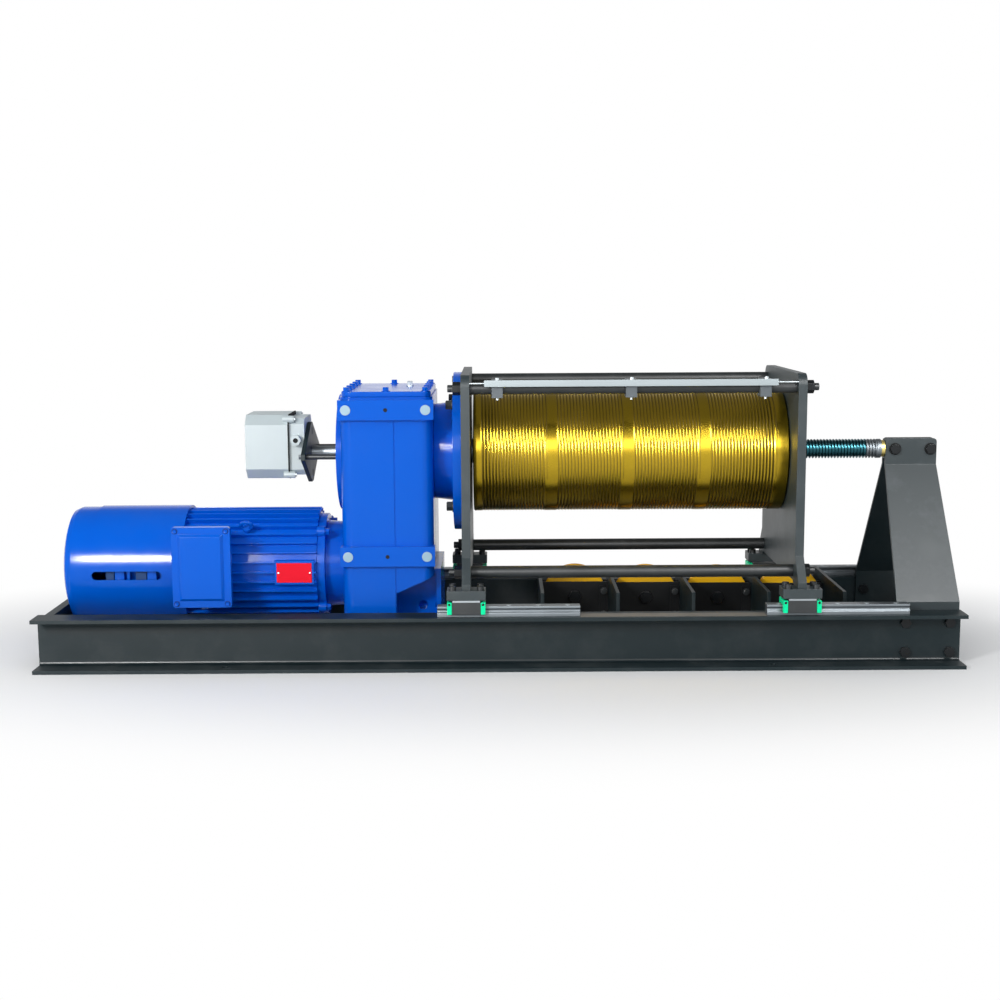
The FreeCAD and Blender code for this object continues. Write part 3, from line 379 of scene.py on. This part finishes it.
def helixPhase(point, start, pitch, axisZ, nudge=0.0):
    turns = math.atan2(-point.y, point.z - axisZ) / (2 * math.pi)
    return ((point.x - start) / pitch - turns + nudge) % 1.0


def grooveDepth(look, phase):
    if look["form"] == "rope":
        half = (phase - 0.5) * look["pitch"]
        return max(0.0, math.sqrt(look["seat"] ** 2 - half ** 2) - look["seat"] + look["depth"])
    wave = abs(phase - 0.5) * 2  # trapezoid thread
    return look["depth"] * min(1.0, max(0.0, (look["flankEnd"] - wave) / look["flankRun"]))


helixSlack = dict(reach=1e-4, radius=2e-4, phase=1e-4)


def groovedPiece(name, replaced, body, finish, look, radius, axisZ, sections, leftEnd, rightEnd):
    pitch, skin = look["pitch"], radius - helixSlack["radius"]
    bm = bmesh.new()
    spunLine(bm, leftEnd, axisZ, look["steps"])
    spunLine(bm, rightEnd, axisZ, look["steps"])
    spans = [(start, helixSection(bm, look, radius, axisZ, start, end)) for start, end in sections]
    stops = [leftEnd[-1][0]] + [x for span in spans for x in span] + [rightEnd[0][0]]
    reach = pitch + helixSlack["reach"]
    for near, far in zip(stops[::2], stops[1::2]):
        bmesh.ops.bridge_loops(bm, edges=rimEdges(bm, near - reach, far + reach, skin, axisZ))
    for v in bm.verts:
        inside = [span for span in spans if span[0] <= v.co.x <= span[1]]
        out = math.hypot(v.co.y, v.co.z - axisZ)
        if inside and out > skin:
            start, end = inside[0]
            fade = min(1.0, (v.co.x - start) / pitch - 1, (end - v.co.x) / pitch - 1)
            phase = helixPhase(v.co, start, pitch, axisZ, helixSlack["phase"])
            push = max(0.0, fade) * grooveDepth(look, phase) / out
            v.co.y -= v.co.y * push
            v.co.z -= (v.co.z - axisZ) * push
    piece = putPiece(bm, name, body, finish, smoothAngle=55, slot=slotOf[replaced])
    if "shadeAndGrease" in look:  # a dark line along the bottom of the groove: partly grease, partly painted shade
        piece.data.materials.append(paints[look["shadeAndGrease"]])
        for face in piece.data.polygons:
            x, y, z = face.center
            inside = [span for span in spans if span[0] + pitch < x < span[1] - pitch]
            if inside and math.hypot(y, z - axisZ) > radius - 2 * look["depth"]:
                phase = helixPhase(face.center, inside[0][0], pitch, axisZ)
                face.material_index = int(abs(phase - 0.5) < look["shadeAndGreaseHalf"])
    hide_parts(replaced)
    return piece


drumLook = dict(form="rope", pitch=9 * mm, depth=1.6 * mm, seat=6.5 * mm, perPitch=8, steps=96,
                shadeAndGrease="groove_shade_and_grease", shadeAndGreaseHalf=0.125)
drumZones = dict(start=-46 * mm, length=176 * mm, pitch=212 * mm, count=4, runOut=1.6)
low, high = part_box("drum_barrel")
drumAxis = (low.z + high.z) / 2
drumRadius, drumBore, drumEase = 0.172, 0.152, 0.003
runOut = drumZones["runOut"] * drumLook["pitch"]
zoneStarts = [drumZones["start"] + drumZones["pitch"] * i for i in range(drumZones["count"])]
zones = [(x - runOut, x + drumZones["length"] + runOut) for x in zoneStarts]
groovedPiece("grooved_barrel", "drum_barrel", "drum", "drum_gold", drumLook, drumRadius, drumAxis, zones,
             [(low.x, drumBore), (low.x, drumRadius - drumEase), (low.x + drumEase, drumRadius)],
             [(high.x - drumEase, drumRadius), (high.x, drumRadius - drumEase), (high.x, drumBore),
              (low.x, drumBore)])

screwLook = dict(form="thread", pitch=9 * mm, depth=5 * mm, perPitch=9, steps=48, flankEnd=0.68,
                 flankRun=0.36)
screwRadius, screwJournal, threadEnd, oxideEnd = 27.5 * mm, 20 * mm, 1096 * mm, 1052 * mm
threadMargin = 1 * mm
low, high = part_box("lead_screw")
screw = groovedPiece("threaded_screw", "lead_screw", "base", "screw_oxide", screwLook, screwRadius, drumAxis,
                     [(low.x + threadMargin, threadEnd - threadMargin)], [(low.x, 0.0), (low.x, screwRadius)],
                     [(threadEnd, screwRadius), (threadEnd, screwJournal), (high.x, screwJournal),
                      (high.x, 0.0)])
screw.data.materials.append(paints["rail_steel"])  # the oxide ends short of the stand
for face in screw.data.polygons:
    face.material_index = int(face.center.x > oxideEnd)
print("drum and screw cut")

# small fasteners
toTop, toFloor, toFront, toLeft, toRight = (0, 0, 1), (0, 0, -1), (0, -1, 0), (-1, 0, 0), (1, 0, 0)
discTurns = {"X": Matrix.Rotation(math.pi / 2, 4, "Y"), "Y": Matrix.Rotation(math.pi / 2, 4, "X"),
             "Z": Matrix.Identity(4)}
headShape = dict(washerLift=0.18, washerSides=20, crownInset=0.16, crownRise=0.1, socketSink=0.45,
                 facingUp=0.9)
headKeys = ("across", "height", "sides", "washer", "socket")


def addDisc(bm, at, axis, radius, depth, sides):
    place = Matrix.Translation(at) @ discTurns[axis]
    return bmesh.ops.create_cone(bm, cap_ends=True, segments=sides, radius1=radius, radius2=radius,
                                 depth=depth, matrix=place)["verts"]


def boltHead(bm, at, axis, across, height, sides=6, washer=0.0, socket=0.0):
    turn = Vector(toTop).rotation_difference(Vector(axis)).to_matrix().to_4x4()
    before = len(bm.verts)
    lift = headShape["washerLift"] * height if washer else 0.0
    if washer:
        addDisc(bm, (0, 0, lift / 2), "Z", washer, lift, headShape["washerSides"])
    radius = across / 2 / (math.cos(math.pi / sides) if sides == 6 else 1)
    head = addDisc(bm, (0, 0, lift + height / 2), "Z", radius, height, sides)
    top = [f for f in {f for v in head for f in v.link_faces} if f.normal.z > headShape["facingUp"]]
    rim = radius - socket if socket else radius * headShape["crownInset"]
    bmesh.ops.inset_region(bm, faces=top, thickness=rim)
    for v in top[0].verts:
        v.co.z += -headShape["socketSink"] * height if socket else headShape["crownRise"] * height
    bm.verts.ensure_lookup_table()
    bmesh.ops.transform(bm, matrix=Matrix.Translation(Vector(at)) @ turn, verts=bm.verts[before:])


def fastenerSet(name, body, finish, places, axis, look):
    head = {key: look[key] for key in headKeys if key in look}
    bm = bmesh.new()
    for at in places:
        boltHead(bm, at, axis, **head)
    return putPiece(bm, name, body, finish, smoothAngle=35)


def discSet(name, body, finish, places, axis, look):
    bm = bmesh.new()
    for at in places:
        addDisc(bm, at, axis, look["radius"], look["depth"], look["sides"])
    return putPiece(bm, name, body, finish)


def blockSet(name, body, finish, boxes, ease):
    bm = bmesh.new()
    for low, high in boxes:
        low, high = Vector(low), Vector(high)
        size = Matrix.Diagonal((*(high - low), 1))
        bmesh.ops.create_cube(bm, size=1, matrix=Matrix.Translation((low + high) / 2) @ size)
    bevelEdges(bm, bm.edges[:], ease)
    return putPiece(bm, name, body, finish)


def evenSpots(low, high, count):
    return [low + (high - low) * i / (count - 1) for i in range(count)]


def ringSpots(x, axisZ, look):
    angles = [math.radians(look["first"] + 360 / look["count"] * i) for i in range(look["count"])]
    return [(x, look["radius"] * math.sin(a), axisZ + look["radius"] * math.cos(a)) for a in angles]


coverBolts = dict(inset=15 * mm, across=16 * mm, height=9 * mm, washer=12 * mm, alongX=3, alongY=5)
low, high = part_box("gearbox_cover")
inset = coverBolts["inset"]
acrossX = evenSpots(low.x + inset, high.x - inset, coverBolts["alongX"])
acrossY = evenSpots(low.y + inset, high.y - inset, coverBolts["alongY"])
spots = [(x, y, high.z) for x in acrossX for y in (acrossY[0], acrossY[-1])]
spots += [(x, y, high.z) for x in (acrossX[0], acrossX[-1]) for y in acrossY[1:-1]]
fastenerSet("cover_bolts", "carriage", "winch_blue", spots, toTop, coverBolts)
breather = dict(place=(-254 * mm, 60 * mm), across=15 * mm, height=11 * mm, washer=11 * mm)
fastenerSet("case_breather", "carriage", "aluminium", [(*breather["place"], high.z)], toTop, breather)

padHoles = dict(radius=5.5 * mm, depth=0.6 * mm, sides=24, levels=(705.5 * mm, 300.5 * mm))
low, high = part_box("gearbox_plugs")
spots = [((low.x + high.x) / 2, high.y, z) for z in padHoles["levels"]]
discSet("pad_holes", "carriage", "slot_shadow", spots, "Y", padHoles)

sealRing = dict(inner=35.6 * mm, outer=40 * mm, lip=1.5 * mm, length=11 * mm, steps=48)
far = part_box("gearbox_housing")[0].x
near = far - sealRing["length"]
bm = bmesh.new()
spunLine(bm, [(near, sealRing["inner"]), (near, sealRing["outer"] - sealRing["lip"]),
              (near + sealRing["lip"], sealRing["outer"]), (far, sealRing["outer"]), (far, sealRing["inner"]),
              (near, sealRing["inner"])], drumAxis, sealRing["steps"])
putPiece(bm, "shaft_seal_ring", "carriage", "slot_shadow")

flangeBolts = dict(radius=200 * mm, count=4, first=45, across=24 * mm, height=15 * mm, washer=17 * mm,
                   thick=25 * mm)
low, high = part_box("output_flange")
spots = ringSpots(high.x - flangeBolts["thick"], drumAxis, flangeBolts)
fastenerSet("flange_bolts", "carriage", "dark_steel", spots, toLeft, flangeBolts)

lidScrews = dict(inset=11 * mm, thick=8 * mm, across=11 * mm, height=4 * mm, sides=16, socket=3 * mm)
lidPocketShade = dict(across=16 * mm, height=0.5 * mm, sides=24)
low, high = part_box("terminal_lid")
spots = [(x, low.y + lidScrews["thick"], z) for x in (low.x + lidScrews["inset"], high.x - lidScrews["inset"])
         for z in (low.z + lidScrews["inset"], high.z - lidScrews["inset"])]
fastenerSet("lid_screws", "carriage", "winch_blue", spots, toFront, lidScrews)
# discs under the lid screws: painted shade of their pockets
fastenerSet("lid_pocket_shade", "carriage", "pocket_blue", spots, toFront, lidPocketShade)

rimBolts = dict(radius=153 * mm, count=4, first=45, across=17 * mm, height=10 * mm, washer=12 * mm,
                thick=22 * mm)
low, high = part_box("motor_shield")
spots = ringSpots(low.x + rimBolts["thick"], (low.z + high.z) / 2, rimBolts)
fastenerSet("rim_bolts", "carriage", "winch_blue", spots, toRight, rimBolts)

plateRivets = dict(inset=5 * mm, across=5 * mm, height=1.2 * mm, sides=14)
low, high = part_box("blank_plate")
spots = [(x, low.y, (low.z + high.z) / 2)
         for x in (low.x + plateRivets["inset"], high.x - plateRivets["inset"])]
fastenerSet("plate_rivets", "carriage", "aluminium", spots, toFront, plateRivets)

# what shows of the brake through the cowl's slot
brakeBits = dict(front=-158 * mm, back=-128 * mm, low=226 * mm, high=260 * mm, ease=1.5 * mm)
brakeSpans = {"brake_callipers": ("winch_blue", ((-1077, -1050), (-1043, -1034), (-986, -960))),
              "brake_magnets": ("coil_grey", ((-1102, -1079), (-1018, -988)))}
for name, (finish, spans) in brakeSpans.items():
    boxes = [((a * mm, brakeBits["front"], brakeBits["low"]), (b * mm, brakeBits["back"], brakeBits["high"]))
             for a, b in spans]
    blockSet(name, "carriage", finish, boxes, brakeBits["ease"])

switchGasket = dict(halfY=98 * mm, halfZ=90 * mm, chamfer=28 * mm, proud=0.8 * mm, thick=3 * mm)
low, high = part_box("switch_cover")
switchZ, seam = (low.z + high.z) / 2, high.x
reachY = switchGasket["halfY"] + switchGasket["proud"]
reachZ = switchGasket["halfZ"] + switchGasket["proud"]
cutOff = switchGasket["chamfer"]
bm = bmesh.new()
ring = [bm.verts.new((seam - switchGasket["thick"] / 2, y, switchZ + z)) for y, z in (
    (reachY - cutOff, -reachZ), (reachY, -reachZ + cutOff), (reachY, reachZ - cutOff),
    (reachY - cutOff, reachZ), (cutOff - reachY, reachZ), (-reachY, reachZ - cutOff),
    (-reachY, cutOff - reachZ), (cutOff - reachY, -reachZ))]
side = bmesh.ops.extrude_face_region(bm, geom=[bm.faces.new(ring)])["geom"]
bmesh.ops.translate(bm, verts=[v for v in side if isinstance(v, bmesh.types.BMVert)],
                    vec=(switchGasket["thick"], 0, 0))
putPiece(bm, "switch_gasket", "carriage", "slot_shadow")
switchScrews = dict(lugY=86 * mm, lugZ=78 * mm, lugLength=16 * mm, across=12 * mm, height=4 * mm, sides=16,
                    socket=3 * mm)
spots = [(seam + switchScrews["lugLength"], y, switchZ + z)
         for y in (-switchScrews["lugY"], switchScrews["lugY"])
         for z in (-switchScrews["lugZ"], switchScrews["lugZ"])]
fastenerSet("switch_screws", "carriage", "aluminium", spots, toRight, switchScrews)
glandBore = dict(radius=7 * mm, depth=0.8 * mm, sides=24)
low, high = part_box("switch_gland")
spots = [((low.x + high.x) / 2, low.y, (low.z + high.z) / 2)]
discSet("gland_bore", "carriage", "slot_shadow", spots, "Y", glandBore)
postBolts = dict(halfApart=150 * mm, across=13 * mm, height=8 * mm)
low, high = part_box("switch_plate")
spots = [(low.x, y, drumAxis) for y in (-postBolts["halfApart"], postBolts["halfApart"])]
fastenerSet("switch_post_bolts", "carriage", "bare_steel", spots, toLeft, postBolts)
plateSlots = dict(halfApart=60 * mm, half=Vector((0.4, 5, 10)) * mm, ease=0.3 * mm)
mids = [Vector((x, 0, drumAxis + z)) for x in (low.x, high.x)
        for z in (-plateSlots["halfApart"], plateSlots["halfApart"])]
blockSet("switch_plate_slots", "carriage", "slot_shadow",
         [(mid - plateSlots["half"], mid + plateSlots["half"]) for mid in mids], plateSlots["ease"])

footBolts = dict(along=38 * mm, side=20 * mm, lineY=296 * mm, level=224 * mm, across=19 * mm, height=11 * mm,
                 sides=18, socket=5 * mm)
endPlates = ("end_plate_left", "end_plate_right")
spots = []
for plateName in endPlates:
    low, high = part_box(plateName)
    mid = (low.x + high.x) / 2
    for y in (-footBolts["lineY"], footBolts["lineY"]):
        for dx in (-footBolts["along"], footBolts["along"]):
            for dy in (-footBolts["side"], footBolts["side"]):
                spots.append((mid + dx, y + dy, footBolts["level"]))
fastenerSet("foot_bolts", "carriage", "dark_steel", spots, toTop, footBolts)

railCaps = dict(pitch=80 * mm, edge=34 * mm, count=5, radius=7.2 * mm, depth=0.4 * mm, sides=20)
spots = []
for rail in ("rail_front_left", "rail_front_right", "rail_rear_left", "rail_rear_right"):
    low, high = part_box(rail)
    spots += [(low.x + railCaps["edge"] + railCaps["pitch"] * i, (low.y + high.y) / 2,
               high.z + railCaps["depth"] / 2) for i in range(railCaps["count"])]
discSet("rail_caps", "base", "aluminium", spots, "Z", railCaps)

# the milled seat of the rails, bare between them
seatLook = dict(margin=6 * mm, thick=0.2 * mm, ease=0.05 * mm)
seats = []
for side in ("front", "rear"):
    low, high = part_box(f"rail_{side}_left")
    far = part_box(f"rail_{side}_right")[0].x
    seats.append(((high.x, low.y - seatLook["margin"], low.z),
                  (far, high.y + seatLook["margin"], low.z + seatLook["thick"])))
blockSet("rail_seats", "base", "mill_bare", seats, seatLook["ease"])

sealScrews = dict(radius=3.6 * mm, depth=0.4 * mm, sides=16, drop=6 * mm, reach=45.5 * mm)
blockStrips = dict(halfLength=37 * mm, halfThick=0.2 * mm, height=5 * mm, ease=0.1 * mm)
low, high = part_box("block_seals")
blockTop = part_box("guide_blocks")[1].z
spots, strips = [], []
for plateName in endPlates:
    plateLow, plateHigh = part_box(plateName)
    mid = (plateLow.x + plateHigh.x) / 2
    for y in (low.y + sideRelief["depth"], high.y - sideRelief["depth"]):
        spots += [(mid + dx, y, high.z - sealScrews["drop"])
                  for dx in (-sealScrews["reach"], sealScrews["reach"])]
        strips.append(((mid - blockStrips["halfLength"], y - blockStrips["halfThick"],
                        blockTop - blockStrips["height"]),
                       (mid + blockStrips["halfLength"], y + blockStrips["halfThick"], blockTop)))
discSet("seal_screws", "carriage", "slot_shadow", spots, "Y", sealScrews)
blockSet("block_strips", "carriage", "bare_steel", strips, blockStrips["ease"])

cheekTabs = dict(width=28 * mm, thick=4 * mm, low=45 * mm, high=150 * mm, ease=0.8 * mm)
cheekBolts = dict(levels=(62 * mm, 133 * mm), across=16 * mm, height=8 * mm, washer=11 * mm)
axleWashers = dict(across=36 * mm, height=3 * mm, sides=28)
tabs, boltSpots, washerSpots = [], [], []
for i in sheaveNumbers:
    low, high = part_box(f"sheave_cheeks_{i}")
    tabFront = low.y - cheekTabs["thick"]
    tabs.append(((high.x - cheekTabs["width"], tabFront, cheekTabs["low"]),
                 (high.x, low.y, cheekTabs["high"])))
    boltSpots += [(high.x - cheekTabs["width"] / 2, tabFront, z) for z in cheekBolts["levels"]]
    wheelLow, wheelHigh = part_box(f"sheave_{i}")
    washerSpots.append(((wheelLow.x + wheelHigh.x) / 2, low.y, (wheelLow.z + wheelHigh.z) / 2))
# the cheek tabs take the same painted shade as the cheeks
blockSet("cheek_tabs", "base", "bay_black", tabs, cheekTabs["ease"])
fastenerSet("cheek_tab_bolts", "base", "dark_steel", boltSpots, toFront, cheekBolts)
fastenerSet("axle_washers", "base", "bolt_black", washerSpots, toFront, axleWashers)

keeperClamps = dict(first=-2 * mm, pitch=361 * mm, count=3)
keeperRod = dict(radius=2 * mm, sides=16, y=-266.5 * mm)
keeperBolts = dict(across=9 * mm, height=6 * mm)
keeperTips = dict(inset=9 * mm, across=8 * mm, height=6 * mm, sides=12)
clampSpots = [keeperClamps["first"] + keeperClamps["pitch"] * i for i in range(keeperClamps["count"])]
low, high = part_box("keeper_bar")
near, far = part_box("end_plate_left")[1].x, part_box("end_plate_right")[0].x
spots = [(near + (far - near) / 2, keeperRod["y"], (low.z + high.z) / 2)]
discSet("keeper_rod", "carriage", "aluminium", spots, "X", dict(keeperRod, depth=far - near))
spots = [(x, (low.y + high.y) / 2, high.z) for x in clampSpots]
fastenerSet("keeper_bolts", "carriage", "aluminium", spots, toTop, keeperBolts)
low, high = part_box("keeper_brackets")
spots = [(x, low.y + keeperTips["inset"], low.z) for x in clampSpots]
fastenerSet("keeper_tips", "carriage", "aluminium", spots, toFloor, keeperTips)

tabWashers = dict(insets=(41 * mm, 142 * mm), y=-20 * mm, across=34 * mm, height=2.5 * mm, sides=28)
low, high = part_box("stand_front")
spots = [(low.x + inset, tabWashers["y"], drumAxis) for inset in tabWashers["insets"]]
fastenerSet("tab_washers", "base", "slot_shadow", spots, toFront, tabWashers)
print("fasteners set")

# stage, light and camera
viewLook = dict(place=(-0.00254, -4.46354, 1.01761), pitch=8.6194, roll=-0.3189, yaw=0.0819, focal=1560,
                centreY=530, image=1000, sensor=36, clipEnd=100)
camera = bpy.data.cameras.new("photoView")
cameraObject = addObject("photoView", camera)
camera.sensor_width = viewLook["sensor"]
camera.lens = viewLook["focal"] / viewLook["image"] * viewLook["sensor"]
camera.shift_y = (viewLook["centreY"] - viewLook["image"] / 2) / viewLook["image"]
camera.clip_end = viewLook["clipEnd"]
yaw, tilt, roll = (Matrix.Rotation(math.radians(angle), 4, axis) for angle, axis in (
    (-viewLook["yaw"], "Z"), (90 - viewLook["pitch"], "X"), (viewLook["roll"], "Z")))
turn = yaw @ tilt @ roll
cameraObject.matrix_world = Matrix.Translation(viewLook["place"]) @ turn
scene.camera = cameraObject

floorLook = dict(size=30, color=(0.93, 0.93, 0.93), rough=0.9, spec=0.1, squash=(0.52, 0.9, 0),
                 fade=(0.55, 1.25))
bm = bmesh.new()
bmesh.ops.create_grid(bm, x_segments=1, y_segments=1, size=floorLook["size"])
floorMesh = bpy.data.meshes.new("paleFloor")
bm.to_mesh(floorMesh)
bm.free()
floor = addObject("paleFloor", floorMesh)


# a white glow, and a value that is 1 for the rays that see it
def backdropShader(tree, glowNode):
    path, glow = tree.nodes.new("ShaderNodeLightPath"), tree.nodes.new(glowNode)
    setInputs(glow, {"Color": (1, 1, 1, 1), "Strength": 1.0})
    either, seen = addMath(tree, "MAXIMUM"), addMath(tree, "MAXIMUM")
    linkAll(tree, (
        (path.outputs["Is Camera Ray"], either.inputs[0]), (path.outputs["Is Glossy Ray"], either.inputs[1]),
        (either.outputs[0], seen.inputs[0]), (path.outputs["Is Transmission Ray"], seen.inputs[1])))
    return glow, seen


floorPaint = bpy.data.materials.new("paleFloor")
floorPaint.use_nodes = True
tree = floorPaint.node_tree
plain = tree.nodes["Principled BSDF"]
setInputs(plain, {"Base Color": (*floorLook["color"], 1), "Roughness": floorLook["rough"],
                  "Specular IOR Level": floorLook["spec"]})
glow, seen = backdropShader(tree, "ShaderNodeEmission")
coord, flat, reach, fade, blend = (tree.nodes.new("ShaderNode" + n) for n in (
    "TexCoord", "VectorMath", "VectorMath", "MapRange", "MixShader"))
flat.operation = "MULTIPLY"
flat.inputs[1].default_value = floorLook["squash"]
reach.operation = "LENGTH"
fade.interpolation_type = "SMOOTHSTEP"
setInputs(fade, {"From Min": floorLook["fade"][0], "From Max": floorLook["fade"][1]})
both = addMath(tree, "MULTIPLY")
linkAll(tree, (
    (coord.outputs["Object"], flat.inputs[0]), (flat.outputs[0], reach.inputs[0]),
    (reach.outputs["Value"], fade.inputs["Value"]), (fade.outputs["Result"], both.inputs[0]),
    (seen.outputs[0], both.inputs[1]), (both.outputs[0], blend.inputs["Fac"]),
    (plain.outputs[0], blend.inputs[1]), (glow.outputs[0], blend.inputs[2]),
    (blend.outputs[0], tree.nodes["Material Output"].inputs["Surface"])))
floorMesh.materials.append(floorPaint)

world = bpy.data.worlds.new("studio")
scene.world = world
world.use_nodes = True
tree = world.node_tree
ambient = tree.nodes["Background"]
setInputs(ambient, {"Color": (0.93, 0.96, 1.0, 1), "Strength": 0.42})
glow, seen = backdropShader(tree, "ShaderNodeBackground")
way, height, ceiling, pick = (tree.nodes.new("ShaderNode" + n) for n in (
    "TexCoord", "SeparateXYZ", "MapRange", "MixShader"))
# the backdrop ends and a dim ceiling begins
setInputs(ceiling, {"From Min": 0.30, "From Max": 0.62, "To Min": 1.0, "To Max": 0.22})
linkAll(tree, (
    (way.outputs["Generated"], height.inputs[0]), (height.outputs["Z"], ceiling.inputs["Value"]),
    (ceiling.outputs["Result"], glow.inputs["Strength"]), (seen.outputs[0], pick.inputs["Fac"]),
    (ambient.outputs[0], pick.inputs[1]), (glow.outputs[0], pick.inputs[2]),
    (pick.outputs[0], tree.nodes["World Output"].inputs["Surface"])))

# strips that show in the gloss, and soft lamps that light the colours
lamps = {
    "drumStrip": dict(place=(0.75, -4.3, 1.86), aim=(0.4, 0, 0.45), size=(3.4, 1.4), power=54, shine=True),
    "cowlStrip": dict(place=(-2.15, -4.3, 1.78), aim=(-1, 0, 0.3), size=(0.9, 0.7), power=480, shine=True),
    "standSheen": dict(place=(1.97, -2.3, 2.2), aim=(1.16, -0.2, 0.25), size=(1.0, 0.8), power=110,
                       shine=True),
    "leftKey": dict(place=(-2.9, -4.1, 2.3), aim=(-0.3, 0, 0.4), size=(0.8, 0.8), power=132, shine=False),
    "frontSoft": dict(place=(0, -4.3, 1.95), aim=(0, 0, 0.45), size=(3.4, 0.6), power=10, shine=False),
    "keySoft": dict(place=(0.3, -2.6, 3.8), aim=(0, 0, 0.4), size=(3.2, 3.2), power=40, shine=False),
    "rightFill": dict(place=(4.4, -2.2, 1.8), aim=(0.3, 0, 0.4), size=(2.2, 2.2), power=28, shine=False),
}
for name, look in lamps.items():
    light = bpy.data.lights.new(name, "AREA")
    light.shape = "RECTANGLE"
    light.size, light.size_y = look["size"]
    light.energy = look["power"]
    lamp = addObject(name, light)
    lamp.visible_glossy, lamp.visible_diffuse = look["shine"], not look["shine"]
    place, aim = Vector(look["place"]), Vector(look["aim"])
    turn = (aim - place).to_track_quat("-Z", "Y").to_matrix().to_4x4()
    lamp.matrix_world = Matrix.Translation(place) @ turn
scene.view_settings.view_transform = "Standard"
print("stage lit")
